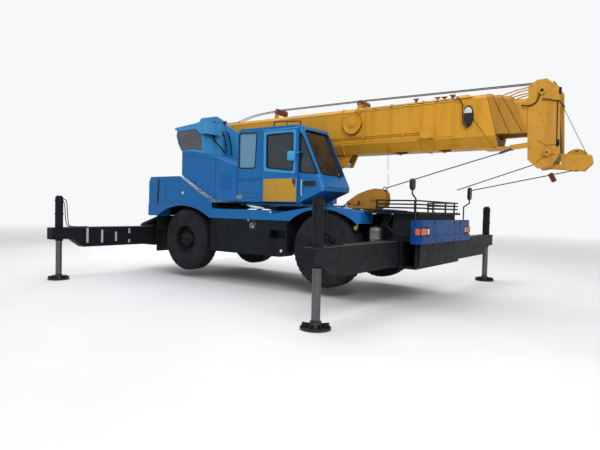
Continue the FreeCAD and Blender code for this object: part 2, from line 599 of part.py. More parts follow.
def swivel_frame():
    rear, front = SLEW_X - 1250, SLEW_X + 850
    plan = [(rear, -560), (rear, 560), (front, 560), (front, -300), (front - 100, -300), (front - 100, -1000),
            (SLEW_X - 650, -1000), (SLEW_X - 650, -560)]
    base = slab_z(plan, UPPER_Z, UPPER_Z + 40)
    pads = [cylinder((x, y, UPPER_Z + 30), (0, 0, 1), 60, CAB_Z - UPPER_Z - 30)
            for x in (SLEW_X - 550, SLEW_X + 650) for y in (-940, -500)]
    ring = cylinder((SLEW_X, 0, RING_TOP), (0, 0, 1), RING_R - 60, UPPER_Z - RING_TOP + 10)
    # the upright plate round the boom pin, as x and height from the pin, then down to the base
    crown = ((900, -75), (530, 145), (340, 297), (194, 370), (-300, 376), (-369, 340), (-405, 100),
             (-290, -10), (-160, -500), (10, -1010), (190, -1125), (1020, -1550))
    side = [(rear, UPPER_Z), (rear + 535, UPPER_Z), (rear + 535, PIVOT_Z - 570)]
    side += [(PIVOT_X + x, PIVOT_Z + z) for x, z in crown]
    half = PLATE_Y - 35
    web_line = [(rear + 300, UPPER_Z + 10), (front - 250, UPPER_Z + 10), (front - 250, UPPER_Z + 180),
                (rear + 535, UPPER_Z + 480), (rear + 300, UPPER_Z + 480)]
    web = [slab_y(web_line, y - 15, y + 15) for y in (-320, 320)]
    tie = [box(rear + 490, rear + 535, y - 50, y + 50, UPPER_Z, UPPER_Z + 430) for y in (-350, 350)]
    plates = [slab_y(side, *sorted((s * (PLATE_Y - 40), s * PLATE_Y))) for s in (-1, 1)]
    back = slab_y([(-120, 2300), (-100, 2300), (-250, 2780), (-285, 2780)], -half, half)
    drums = [cylinder((x, -half, z), (0, 1, 0), DRUM_R, 2 * half) for x, z in DRUMS]
    flanges = [cylinder((x, y - 12, z), (0, 1, 0), FLANGE_R, 24) for x, z in DRUMS for y in (-260, 0, 260)]
    ribs = [box(x, x + 16, *sorted((s * (PLATE_Y - 5), s * (PLATE_Y + 55))), 2810, 3300)
            for s in (-1, 1) for x in (290, 560)]
    floor = slab_y([(50, 2175), (600, 1893), (600, 1923), (60, 2205)], -half, half)
    beam = box(rear - 60, rear + 10, -400, 400, UPPER_Z + 20, UPPER_Z + 80)
    pivot = [cylinder((PIVOT_X, s * 396 - 24, PIVOT_Z), (0, 1, 0), 110, 48) for s in (-1, 1)]
    x, z = LIFT_FOOT_X, LIFT_FOOT_Z
    lug = [(x + 450, UPPER_Z + 20), (x + 200, UPPER_Z + 20), (x + 160, z - 195), (x - 100, z - 160),
           (x - 110, z + 60), (x, z + 110), (x + 70, z + 75), (x + 115, z - 75), (x + 450, z - 210)]
    lugs = [slab_y(lug, y - 15, y + 15) for y in (-105, 105)]
    foot = cylinder((x, -120, z), (0, 1, 0), FOOT_PIN_R, 240)
    shape = join([base, ring, back, floor, beam, foot] + drums + flanges + ribs + plates + web + tie + pads
                 + pivot + lugs)
    bore = cylinder((PIVOT_X, -500, PIVOT_Z), (0, 1, 0), BOOM_PIN_R + PIN_CLEAR, 1000)
    return shape.cut(bore)


def side_body(top, inner_top):
    # a hollow body beside the boom foot, given its front and top lines as x and height
    t = BODY_WALL
    low = CAB_Z + 15
    rear_x, rear_z = HOUSE_FOOT[2][0], BODY_UNDER[0][1] + 112
    line = [(rear_x, rear_z)] + list(BODY_UNDER) + [(BODY_UNDER[1][0], low)] + top + list(HOUSE_FOOT)
    inner = [(rear_x + t, rear_z + 16)] + [(x + t if x > 100 else x + 10, z + 0.9 * t) for x, z in BODY_UNDER]
    inner += [(BODY_UNDER[1][0] + t, low + t)] + inner_top
    inner += [(HOUSE_FOOT[0][0] - 10, HOUSE_FOOT[0][1] - t), (HOUSE_FOOT[1][0], HOUSE_FOOT[1][1] - t),
              (rear_x + t, HOUSE_FOOT[2][1] - t - 1)]
    return slab_y(line, PLATE_Y, BODY_Y).cut(slab_y(inner, PLATE_Y + t, BODY_Y - t))


def body_right():
    x, z = CAB_REAR_X - 45, CAB_Z + 15
    t = BODY_WALL
    return mirrored(side_body([(x, z), (x, 2405)], [(x - t, z + t), (x - t, 2388)]))


def body_left():
    x, z = SLEW_X + 100, CAB_Z + 15
    t = BODY_WALL
    return side_body([(x, z), (x, 2240), (1500, 2405)], [(x - t, z + t), (x - t, 2220), (1495, 2380)])


def winch_house():
    # the covers on both sides of the boom foot, as x and height
    line = [(-290, 2960), (-350, 3130), (-330, 3240), (-415, 3285), (-400, 3318), (340, 3375),
            (500, 3150)] + list(HOUSE_FOOT)
    inner = [(-150, 2815), (-268, 2970), (-326, 3130), (-305, 3250), (-330, 3285), (320, 3345),
             (474, 3140), (530, 2745), (200, 2795)]
    panel = [(-190, 2800), (-265, 2970), (-330, 3140), (-318, 3228), (252, 3248), (450, 3160), (500, 2770),
             (200, 2815)]
    t = BODY_WALL
    pieces = []
    for s in (-1, 1):
        shell = slab_y(line, *sorted((s * WINCH_IN_Y, s * BODY_Y)))
        shell = shell.cut(slab_y(inner, *sorted((s * (WINCH_IN_Y + t), s * (BODY_Y - t)))))
        pieces.append(shell.cut(slab_y(panel, *sorted((s * (BODY_Y - 8), s * (BODY_Y + 10))))))
    box_y = -BODY_Y - 22
    rain_line = [(358, 3385), (309, 3265), (434, 3130), (637, 3120), (637, 3375)]
    rain_hollow = [(380, 3360), (338, 3268), (444, 3100), (612, 3100), (612, 3352)]
    rain_box = slab_y(rain_line, box_y, -820).cut(slab_y(rain_hollow, box_y + t, -820 - t))
    arm_y = WINCH_IN_Y + 20
    joint = slab_y([(-640, 3180), (-575, 3180), (-575, 3300), (-640, 3300)], -arm_y - 15, arm_y + 15)
    arms = [slab_y([(-640, 3180), (-300, 3120), (-300, 3220), (-640, 3300)], s * arm_y - 15, s * arm_y + 15)
            for s in (-1, 1)]
    return join(pieces + [rain_box, joint] + arms)


def screen_x(z, inset=0.0):
    # x of the windscreen plane at a height
    return CAB_FRONT_X - inset - SCREEN_RUN * (z - SCREEN_FOOT_Z) / SCREEN_RISE


def cab_body(grow, radius):
    # the closed cab form with its right front pillar rounded, drawn in by grow
    roof = CAB_ROOF - grow
    front = CAB_FRONT_X - 1.1 * grow
    rear = CAB_REAR_X + grow
    pts = [(rear, CAB_Z + grow), (CAB_FRONT_X - 0.253 * CAB_LENGTH, CAB_Z + grow),
           (front - 10, SCREEN_FOOT_Z - 85 + grow), (front, SCREEN_FOOT_Z),
           (front - SCREEN_RUN, SCREEN_FOOT_Z + SCREEN_RISE - grow),
           (front - SCREEN_RUN - 70, roof), (rear + 60, roof + 15), (rear, roof - 50)]
    right_y = CAB_RIGHT_Y + grow
    shape = slab_y(pts, right_y, CAB_LEFT_Y - grow)
    right = [e for e in shape.Edges if e.BoundBox.YMax < right_y + 1 and e.BoundBox.XMin > DOOR_X0]
    pillar = max(right, key=lambda e: e.BoundBox.ZLength)
    return shape.makeFillet(radius, [pillar])


def window_outlines():
    # x and height of each pane's outline
    x = CAB_REAR_X + 32
    rear = [(x, 2352), (DOOR_X0 - 205, 2346), (DOOR_X0 - 171, 3030), (x, 3048)]
    quarter = [(DOOR_X1 + 18, 2238), (screen_x(2205, 28), 2205), (screen_x(2925, 40), 2925),
               (DOOR_X1 + 18, 2960)]
    x = CAB_REAR_X + 130
    left = [(x, 2325), (screen_x(2250, 72), 2250), (screen_x(2930, 60), 2930), (x, 3020)]
    return rear, quarter, left


def cab_shell():
    t = CAB_WALL
    y0, y1 = CAB_RIGHT_Y, CAB_LEFT_Y
    shape = cab_body(0, CAB_CORNER_R).cut(cab_body(t, CAB_CORNER_R - t))
    rear, quarter, left = window_outlines()
    screen = slab_x([(y0 + 95, 2200), (y1 - 60, 2200), (y1 - 60, 3025), (y0 + 95, 3025)], CAB_FRONT_X - 600,
                    CAB_FRONT_X + 60)
    ahead = slab_y([(screen_x(3200, 65), 3200), (screen_x(2000, 65), 2000), (CAB_FRONT_X + 100, 2000),
                    (CAB_FRONT_X + 100, 3200)], y0, y1)
    windows = [
        slab_y(rear, y0 - 5, y0 + t + 5),
        slab_y(quarter, y0 - 5, y0 + t + 5),
        slab_y(left, y1 - t - 5, y1 + 5),
        box(CAB_REAR_X - 10, CAB_REAR_X + t + 30, y0 + 110, y1 - 110, 2330, 3000),
        screen.common(ahead),
        box(DOOR_X0 + 30, DOOR_X1 - 30, y0 - 5, y0 + t + 5, CAB_Z + 60, 3030),
    ]
    for w in windows:
        shape = shape.cut(w)
    # door rails as start x, end x and height
    tracks = ((CAB_REAR_X + 40, DOOR_X0 + 25, 2112), (CAB_REAR_X + 40, DOOR_X1 - 20, CAB_Z + 20),
              (CAB_REAR_X + 40, DOOR_X1 - 20, 3042))
    rails = [box(xa, xb, y0 - DOOR_GAP + RUN_CLEAR, y0 + 5, z, z + 22) for xa, xb, z in tracks]
    return join([shape] + rails)


def cab_glass():
    t = 6
    y0, y1 = CAB_RIGHT_Y, CAB_LEFT_Y
    c = CAB_WALL / 2
    rear, quarter, left = window_outlines()
    high, low = 3020, 2205
    screen = [(screen_x(z, inset), z) for inset, z in ((28, high), (38, high), (38, low), (28, low))]
    return [
        slab_y(rear, y0 + c - t, y0 + c),
        slab_y(quarter, y0 + c - t, y0 + c),
        slab_y(left, y1 - c, y1 - c + t),
        box(CAB_REAR_X + c - t, CAB_REAR_X + c, y0 + 110, y1 - 110, 2330, 3000),
        slab_y(screen, y0 + 95, y1 - 60),
    ]


def cab_door():
    y1 = CAB_RIGHT_Y - DOOR_GAP
    y0 = y1 - DOOR_T
    outline = [(DOOR_X0, CAB_Z + 8), (DOOR_X1, CAB_Z - 2), (DOOR_X1, 3060), (DOOR_X0, 3075)]
    shape = slab_y(outline, y0, y1)
    shape = shape.cut(slab_y(DOOR_WINDOW, y0 - 5, y1 + 5))
    handle = box(DOOR_X1 - 65, DOOR_X1 - 40, y0 - 22, y0 + 2, 1980, 2100)
    return join([shape, handle])


def door_glass():
    y1 = CAB_RIGHT_Y - DOOR_GAP - DOOR_T / 2
    return slab_y(DOOR_WINDOW, y1 - 3, y1 + 3)


def operator_seat():
    y = (CAB_RIGHT_Y + CAB_LEFT_Y) / 2
    z = CAB_Z + CAB_WALL
    back = CAB_REAR_X + 0.28 * CAB_LENGTH
    rest = [(back, z + 380), (back + 140, z + 380), (back + 10, z + 980), (back - 100, z + 980)]
    pieces = [
        box(back + 100, back + 450, y - 150, y + 150, z, z + 250),
        box(back, back + 530, y - 240, y + 240, z + 250, z + 380),
        slab_y(rest, y - 230, y + 230),
    ]
    return join(pieces)


def cab_console():
    y = (CAB_RIGHT_Y + CAB_LEFT_Y) / 2
    z = CAB_Z + CAB_WALL
    x = CAB_FRONT_X - 0.304 * CAB_LENGTH
    column = V(-0.2, 0, 0.98)
    hub = V(x, y, z + 617)
    # section of the steering wheel's rim as radius and height
    section = [(176, -9), (190, -16), (204, -9), (204, 9), (190, 16), (176, 9)]
    rim_face = face([V(x + r, y, z + 622 + h) for r, h in section])
    steering = rim_face.revolve(V(x, y, z + 622), V(0, 0, 1), 360)
    steering.rotate(V(x, y, z + 622), V(0, 1, 0), -math.degrees(math.atan2(0.2, 0.98)))
    pieces = [
        box(x - 55, x + 70, y - 200, y + 200, z, z + 420),
        cylinder((x + 40, y, z + 400), (-0.2, 0, 0.98), 30, 226),
        steering,
        Part.makeCylinder(184, 10, hub, column),
    ]
    return join(pieces)


def boom_outline(grow, top=BOOM_TOP, bottom=BOOM_BOTTOM, half=BOOM_HALF_Y):
    c = BOOM_CHINE
    h = half - grow
    return [(-h, bottom + c), (-h + c * 0.75, bottom + grow), (h - c * 0.75, bottom + grow), (h, bottom + c),
            (h, top - 60 - grow), (h - 40, top - grow), (-h + 40, top - grow), (-h, top - 60 - grow)]


def tube_section(grow, x0, x1, wall=BOOM_WALL):
    outer = slab_x(boom_outline(grow), x0, x1)
    inner = slab_x(boom_outline(grow + wall), x0 - 5, x1 + 5)
    return outer.cut(inner)


def wear_pads(grow, x0, x1):
    # pads on the inside of a tube that carry the next section
    low = BOOM_BOTTOM + grow + BOOM_WALL
    high = BOOM_TOP - grow - BOOM_WALL
    return [box(x0, x1, -130, 130, low - 4, low + SECTION_CLEAR - RUN_CLEAR),
            box(x0, x1, -130, 130, high - SECTION_CLEAR + RUN_CLEAR, high + 4)]


def front_line(front, z, ahead=0.0):
    # x at a height on a slanted front, given its x at the top and at the sill
    top_x, sill_x = front
    return ahead + sill_x + (top_x - sill_x) * (z - BOOM_SILL) / (BOOM_TOP - BOOM_SILL)


def roller(x, z):
    drum = cylinder((x, -150, z), (0, 1, 0), ROLLER_R, 300)
    posts = [slab_y([(x - 70, BOOM_TOP - 12), (x + 70, BOOM_TOP - 12), (x + 26, z + 30), (x - 26, z + 30)],
                    s * 158 - 8, s * 158 + 8) for s in (-1, 1)]
    return [drum] + posts


def boom_base():
    sill_x = BASE_FRONT[1]
    over = BOOM_TOP + 60
    ahead = slab_y([(front_line(BASE_FRONT, over), over), (sill_x + 50, over), (sill_x + 50, BOOM_SILL),
                    (sill_x, BOOM_SILL)], -500, 500)
    tube = tube_section(0, 250, sill_x).cut(ahead)
    collar = slab_x(boom_outline(-22), sill_x - 700, sill_x)
    collar = collar.cut(slab_x(boom_outline(BOOM_WALL), sill_x - 750, sill_x + 50))
    slant = slab_y([(sill_x - 678, over), (sill_x - 483, over), (sill_x, 2893), (sill_x, 2622)], -500, 500)
    collar = collar.common(slant).cut(ahead)
    ribs = []
    for x in (3410, 4430, 5040, 5290):
        rib = slab_x(boom_outline(-14), x - 14, x + 14).cut(slab_x(boom_outline(2), x - 20, x + 20))
        ribs.append(rib)
    heel_line = [(PIVOT_X - 120, PIVOT_Z - 60), (PIVOT_X, PIVOT_Z - 125), (270, 2750),
                 (520, BOOM_BOTTOM + 150), (520, BOOM_TOP - 80), (PIVOT_X + 40, PIVOT_Z + 120),
                 (PIVOT_X - 80, PIVOT_Z + 100)]
    heel = [slab_y(heel_line, s * 300 - 18, s * 300 + 18) for s in (-1, 1)]
    boss = [cylinder((PIVOT_X, s * 330 - 40, PIVOT_Z), (0, 1, 0), 100, 80) for s in (-1, 1)]
    pin = cylinder((PIVOT_X, 2 - PLATE_Y, PIVOT_Z), (0, 1, 0), BOOM_PIN_R, 2 * PLATE_Y - 4)
    back = box(255, 275, -305, 305, 2830, BOOM_TOP - 70)
    lugs = [slab_y([(LIFT_EYE_X - 200, BOOM_BOTTOM + 5), (LIFT_EYE_X + 200, BOOM_BOTTOM + 5),
                    (LIFT_EYE_X + 90, LIFT_EYE_Z - 80), (LIFT_EYE_X - 90, LIFT_EYE_Z - 80)], y - 14, y + 14)
            for y in (-125, 125)]
    shoe = box(sill_x - 240, sill_x + 170, -185, 185, BOOM_BOTTOM - 28, BOOM_BOTTOM + 4)
    reel = cylinder((3664, -BOOM_HALF_Y - 60, 3213), (0, 1, 0), 200, 70)
    guide_line = [(3760, 3360), (3837, 3432), (3760, 3500), (3690, 3440)]
    guide = slab_y(guide_line, -BOOM_HALF_Y - 40, -BOOM_HALF_Y + 4)
    junction = box(5040, 5290, -BOOM_HALF_Y - 60, -BOOM_HALF_Y + 5, 2840, 2990)
    rollers = roller(ROLLER_X[0], ROLLER_Z[0]) + roller(ROLLER_X[1], ROLLER_Z[1])
    pads = wear_pads(0, 5560, 5760)
    return join([tube, collar, pin, back, shoe, reel, guide, junction] + pads + ribs + heel + boss + lugs
                + rollers)


def boom_section(index):
    grow = (index + 1) * (BOOM_WALL + SECTION_CLEAR)
    x0 = SECTION_OVERLAP_X + 90 * index
    front = SECTION_FRONTS[index]
    behind = BASE_FRONT if index == 0 else SECTION_FRONTS[index - 1]
    high = BOOM_TOP + 60
    sill_x = BASE_FRONT[1] + FRONT_GAP
    tube = tube_section(grow, x0, front[1])
    collar = slab_x(boom_outline(grow - 30), front[0] - 200, front[1])
    collar = collar.cut(slab_x(boom_outline(grow + BOOM_WALL), front[0] - 250, front[1] + 20))
    high_x = front_line(front, high)
    band = [(front_line(behind, high, FRONT_GAP), high), (high_x, high), (front[1], BOOM_SILL),
            (behind[1] + FRONT_GAP, BOOM_SILL)]
    reach = [(0, high), (high_x, high), (front[1], BOOM_SILL), (sill_x, BOOM_SILL),
             (sill_x - 20, BOOM_BOTTOM), (0, BOOM_BOTTOM)]
    collar = collar.common(slab_y(band, -500, 500))
    tube = tube.common(slab_y(reach, -500, 500))
    pads = wear_pads(grow, front[0] - 440, front[0] - 240)
    return join([tube, collar] + pads)


def boom_tip():
    index = 3
    grow = (index + 1) * (BOOM_WALL + SECTION_CLEAR)
    sill_x = BASE_FRONT[1] + FRONT_GAP
    tube = tube_section(grow, SECTION_OVERLAP_X + 90 * index, TIP_END_X)
    reach = [(0, BOOM_TOP), (TIP_END_X, BOOM_TOP), (TIP_END_X, BOOM_SILL), (sill_x, BOOM_SILL),
             (sill_x - 20, BOOM_BOTTOM), (0, BOOM_BOTTOM)]
    tube = tube.common(slab_y(reach, -500, 500))
    y = HEAD_HALF_Y
    # cheek of the head from its upper rear corner forward and round, as x and height from the two pins
    upper = ((-205, 90), (-81, 175), (59, 181), (201, 50), (237, 8))
    lower = ((171, -14), (70, -210), (-133, -243), (-282, -96), (-294, 320))
    cheek = [(HEAD_X + x, HEAD_Z + z) for x, z in upper]
    cheek += [(LOW_PIN_X + x, LOW_PIN_Z + z) for x, z in lower]
    plates = [slab_y(cheek, s * y - 14, s * y + 14) for s in (-1, 1)]
    pin = cylinder((HEAD_X, -y - 38, HEAD_Z), (0, 1, 0), 55, 2 * y + 76)
    low_pin = cylinder((LOW_PIN_X, -y - 50, LOW_PIN_Z), (0, 1, 0), 45, 2 * y + 100)
    sheaves = []
    for sheave_y in (-132, -44, 44, 132):
        sheaves.append(cylinder((HEAD_X, sheave_y - 24, HEAD_Z), (0, 1, 0), 165, 48))
        sheaves.append(cylinder((LOW_PIN_X, sheave_y - 24, LOW_PIN_Z), (0, 1, 0), 160, 48))
    x, z = LOW_PIN_X, LOW_PIN_Z
    # cross plates as rear x, front x, foot and top heights from the lower pin
    cross = [box(x + xa, x + xb, -y, y, z + za, z + zb) for xa, xb, za, zb in (
        (-270, -240, -60, 930), (-200, 100, 380, 410), (-120, 60, -224, -194))]
    arm_line = [(x + 175, z - 14), (AUX_X + 198, AUX_Z + 66), (AUX_X + 217, AUX_Z - 53),
                (AUX_X + 109, AUX_Z - 168), (x - 100, z - 223), (x - 100, z - 175),
                (x + 175, z - 175)]
    arm = [slab_y(arm_line, side_y - 8, side_y + 8) for side_y in (-80, 80)]
    aux = cylinder((AUX_X, -30, AUX_Z), (0, 1, 0), AUX_R, 60)
    aux_pin = cylinder((AUX_X, -100, AUX_Z), (0, 1, 0), 32, 200)
    socket_line = [(x - 564, z + 63), (x - 541, z + 141), (x - 260, z + 170), (x - 260, z + 92)]
    socket = slab_y(socket_line, -y - 38, 7 - y)
    return join([tube, pin, low_pin, aux, aux_pin, socket] + plates + sheaves + cross + arm)


def lift_direction():
    d = V(LIFT_EYE_X - LIFT_FOOT_X, 0, LIFT_EYE_Z - LIFT_FOOT_Z)
    return d.normalize()


def lift_barrel():
    d = lift_direction()
    foot = V(LIFT_FOOT_X, 0, LIFT_FOOT_Z)
    eye = cylinder((LIFT_FOOT_X, -80, LIFT_FOOT_Z), (0, 1, 0), 95, 160)
    neck = Part.makeCylinder(78, 130, foot + d * 50, d)
    tube = Part.makeCylinder(LIFT_BARREL_R, 2290, foot + d * 160, d)
    bore = Part.makeCylinder(LIFT_ROD_R + 4, 2200, foot + d * 190, d)
    gland = Part.makeCylinder(LIFT_ROD_R + PIN_CLEAR, 300, foot + d * 2300, d)
    shape = join([eye, neck, tube]).cut(bore).cut(gland)
    return shape.cut(cylinder((LIFT_FOOT_X, -90, LIFT_FOOT_Z), (0, 1, 0), FOOT_PIN_R + PIN_CLEAR, 180))


def lift_rod():
    d = lift_direction()
    eye = V(LIFT_EYE_X, 0, LIFT_EYE_Z)
    rod = Part.makeCylinder(LIFT_ROD_R, 2330, eye - d * 2380, d)
    head = cylinder((LIFT_EYE_X, -80, LIFT_EYE_Z), (0, 1, 0), 85, 160)
    return join([rod, head]).cut(cylinder((LIFT_EYE_X, -90, LIFT_EYE_Z), (0, 1, 0), 46, 180))


def nodes():
    out = {
        "chassis_frame": chassis_frame(),
        "front_outrigger_box": outrigger_box(FRONT_BOX_X, True),
        "rear_outrigger_box": outrigger_box(REAR_BOX_X, False),
        "side_skirt_right": skirt(-1),
        "side_skirt_left": skirt(1),
        "fender_right": fender(-1),
        "fender_left": fender(1),
        "engine_hood": engine_hood(),
        "engine": engine(),
        "front_deck": front_deck(),
        "front_bumper": front_bumper(),
        "front_lamp_right": front_lamp(-1),
        "front_lamp_left": front_lamp(1),
        "rear_lamps": rear_lamps(),
        "front_axle": axle(WHEELBASE),
        "rear_axle": axle(0.0),
        "deck_mirror_right": deck_mirror(*DECK_MIRRORS[0]),
        "deck_mirror_left": deck_mirror(*DECK_MIRRORS[1]),
        "hook_block": hook_block(),
        "swivel_frame": swivel_frame(),
        "body_right": body_right(),
        "body_left": body_left(),
        "winch_house": winch_house(),
        "cab_shell": cab_shell(),
        "cab_door": cab_door(),
        "door_glass": door_glass(),
        "boom_base": boom_base(),
        "boom_section_2": boom_section(0),
        "boom_section_3": boom_section(1),
        "boom_section_4": boom_section(2),
        "boom_tip": boom_tip(),
        "lift_barrel": lift_barrel(),
        "lift_rod": lift_rod(),
    }
    out["operator_seat"] = operator_seat()
    out["cab_console"] = cab_console()
    panes = ("glass_rear_right", "glass_quarter", "glass_left", "glass_back", "windscreen")
    for name, pane in zip(panes, cab_glass()):
        out[name] = pane
    for name, side, axle_x, beam_x in CORNERS:
        out["knuckle_" + name] = knuckle(side, axle_x)
        out["rim_" + name] = rim(side, axle_x)
        out["tyre_" + name] = tyre(side, axle_x)
        out["beam_" + name] = beam(side, beam_x)
        out["jack_" + name] = jack(side, beam_x)
    return {name: single(shape) for name, shape in out.items()}


def main():
    os.makedirs("parts", exist_ok=True)
    shapes = nodes()
    low = min(s.BoundBox.XMin for s in shapes.values())
    high = max(s.BoundBox.XMax for s in shapes.values())
    shift = V(-(low + high) / 2, 0, 0)
    for name, shape in shapes.items():
        moved = shape.copy()
        moved.translate(shift)
        moved.exportStep("parts/" + name + ".step")
    print("origin x from the rear axle:", (low + high) / 2)


if __name__ == "__main__":
    main()
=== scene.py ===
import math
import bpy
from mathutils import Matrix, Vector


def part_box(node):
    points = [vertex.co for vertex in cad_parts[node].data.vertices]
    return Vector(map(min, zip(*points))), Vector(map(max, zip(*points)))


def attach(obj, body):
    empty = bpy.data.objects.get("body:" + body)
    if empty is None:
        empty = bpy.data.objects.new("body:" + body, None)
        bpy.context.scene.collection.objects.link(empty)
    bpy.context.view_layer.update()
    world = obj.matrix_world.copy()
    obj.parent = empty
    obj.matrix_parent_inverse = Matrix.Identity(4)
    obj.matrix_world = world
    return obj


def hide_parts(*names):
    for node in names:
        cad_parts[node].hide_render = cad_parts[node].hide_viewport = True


bl_info = {
    "name": "Rough Terrain Crane Dressing",
    "version": (1, 0, 0),
    "blender": (4, 5, 0),
    "location": "View3D > Sidebar > Crane",
    "description": "Finishes and small parts for a two-axle mobile crane around its CAD frame",
    "category": "Object",
}

import bmesh
import bpy
from bpy.props import FloatProperty, FloatVectorProperty, IntProperty, PointerProperty
from mathutils import Matrix, Vector

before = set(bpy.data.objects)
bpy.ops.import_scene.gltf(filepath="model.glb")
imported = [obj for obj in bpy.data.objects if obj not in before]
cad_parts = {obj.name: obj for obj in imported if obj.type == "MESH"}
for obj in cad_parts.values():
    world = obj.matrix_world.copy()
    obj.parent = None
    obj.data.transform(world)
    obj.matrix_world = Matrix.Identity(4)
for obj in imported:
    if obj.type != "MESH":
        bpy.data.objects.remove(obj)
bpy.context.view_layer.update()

CORNERS = ("front_right", "front_left", "rear_right", "rear_left")
SIDES = {"right": -1, "left": 1}


def middle(node, axis):
    low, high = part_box(node)
    return (low[axis] + high[axis]) / 2


REAR_AXLE_X = middle("tyre_rear_right", 0)
AXLE_Z = middle("tyre_rear_right", 2)
TYRE_RADIUS = AXLE_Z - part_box("tyre_rear_right")[0][2]
WHEEL_Y = abs(middle("tyre_rear_right", 1))
RIM_RADIUS = 0.317
JACK_Y = 3.3
BODY_Y = 1.25
BLOCK_FOOT = (3.985, -0.87, 1.56)
BLOCK_HALF_WIDTH = 0.08566
SCREEN_FOOT_X, SCREEN_FOOT_Z = 3.645, 1.985
SCREEN_LEAN = 0.53535 / 1.11
REEL_X, REEL_Z = 3.664, 3.213
UPPER_PIN, LOWER_PIN = (6.95, 3.475), (7.05, 2.52)
AUX_SHEAVE_X, AUX_SHEAVE_Z = 7.425, 2.406
MAIN_LINES = (-0.044, 0.044)
BACKGROUND = (0.93, 0.94, 0.95, 1.0)
CAMERA_SPOT = (8.56039973, -8.66965127, 1.55334673)


def at(x, y, z):
    """A point from its distance ahead of the rear axle, to the left and above the ground."""
    return Vector((x + REAR_AXLE_X, y, z))


def linear(red, green, blue):
    """Scene linear colour from 8-bit values as seen on a screen."""
    out = []
    for value in (red, green, blue):
        c = value / 255
        out.append(c / 12.92 if c <= 0.04045 else ((c + 0.055) / 1.055) ** 2.4)
    return tuple(out)


# Node materials


class Finish:
    """A short way to lay out one node material."""

    def __init__(self, name):
        self.material = bpy.data.materials.new(name)
        self.material.use_nodes = True
        self.tree = self.material.node_tree
        self.shader = self.tree.nodes["Principled BSDF"]
        coords = self.tree.nodes.new("ShaderNodeTexCoord")
        self.place = coords.outputs["Object"]
        self.facing = coords.outputs["Normal"]

    def node(self, kind, links=(), values=(), **settings):
        made = self.tree.nodes.new(kind)
        for key, value in settings.items():
            setattr(made, key, value)
        for socket, value in dict(values).items():
            made.inputs[socket].default_value = value
        for socket, source in dict(links).items():
            self.tree.links.new(source, made.inputs[socket])
        return made

    def noise(self, scale, detail=4.0, stretch=None, rough=0.55):
        source = self.place
        if stretch:
            source = self.node("ShaderNodeMapping", {"Vector": source}, {"Scale": stretch}).outputs["Vector"]
        made = self.node("ShaderNodeTexNoise", {"Vector": source},
                         {"Scale": scale, "Detail": detail, "Roughness": rough})
        return made.outputs["Fac"]

    def ramp(self, source, low, high, bottom=0.0, top=1.0):
        made = self.node("ShaderNodeMapRange", {"Value": source},
                         {"From Min": low, "From Max": high, "To Min": bottom, "To Max": top})
        return made.outputs["Result"]

    def maths(self, operation, first, second):
        made = self.node("ShaderNodeMath", operation=operation)
        for socket, value in zip(made.inputs, (first, second)):
            if isinstance(value, (int, float)):
                socket.default_value = value
            else:
                self.tree.links.new(value, socket)
        return made.outputs["Value"]

    def axis(self, source, name):
        return self.node("ShaderNodeSeparateXYZ", {"Vector": source}).outputs[name]

    def blend(self, factor, first, second):
        made = self.node("ShaderNodeMix", data_type="RGBA")
        for index, value in ((0, factor), (6, first), (7, second)):
            socket = made.inputs[index]
            if isinstance(value, bpy.types.NodeSocket):
                self.tree.links.new(value, socket)
            elif index == 0:
                socket.default_value = value
            else:
                socket.default_value = (*value, 1.0)
        return made.outputs[2]

    def tint(self, mask, share, first, second):
        """A blend whose factor is a mask times a share."""
        return self.blend(self.maths("MULTIPLY", mask, share), first, second)

    def wave(self, scale, direction, distortion=0.0):
        made = self.node("ShaderNodeTexWave", {"Vector": self.place}, {"Scale": scale, "Distortion": distortion},
                         bands_direction=direction)
        return made.outputs["Fac"]

    def laid(self, socket):
        """What already feeds a socket of the shader."""
        return self.shader.inputs[socket].links[0].from_socket

    def colour(self, source):
        self.tree.links.new(source, self.shader.inputs["Base Color"])

    def roughness(self, source):
        self.tree.links.new(source, self.shader.inputs["Roughness"])

    def bump(self, source, strength, depth):
        made = self.node("ShaderNodeBump", {"Height": source}, {"Strength": strength, "Distance": depth})
        self.tree.links.new(made.outputs["Normal"], self.shader.inputs["Normal"])

    def set(self, **values):
        for name, value in values.items():
            self.shader.inputs[name.replace("_", " ")].default_value = value


DUST = linear(96, 92, 86)
GRIME = linear(30, 28, 26)


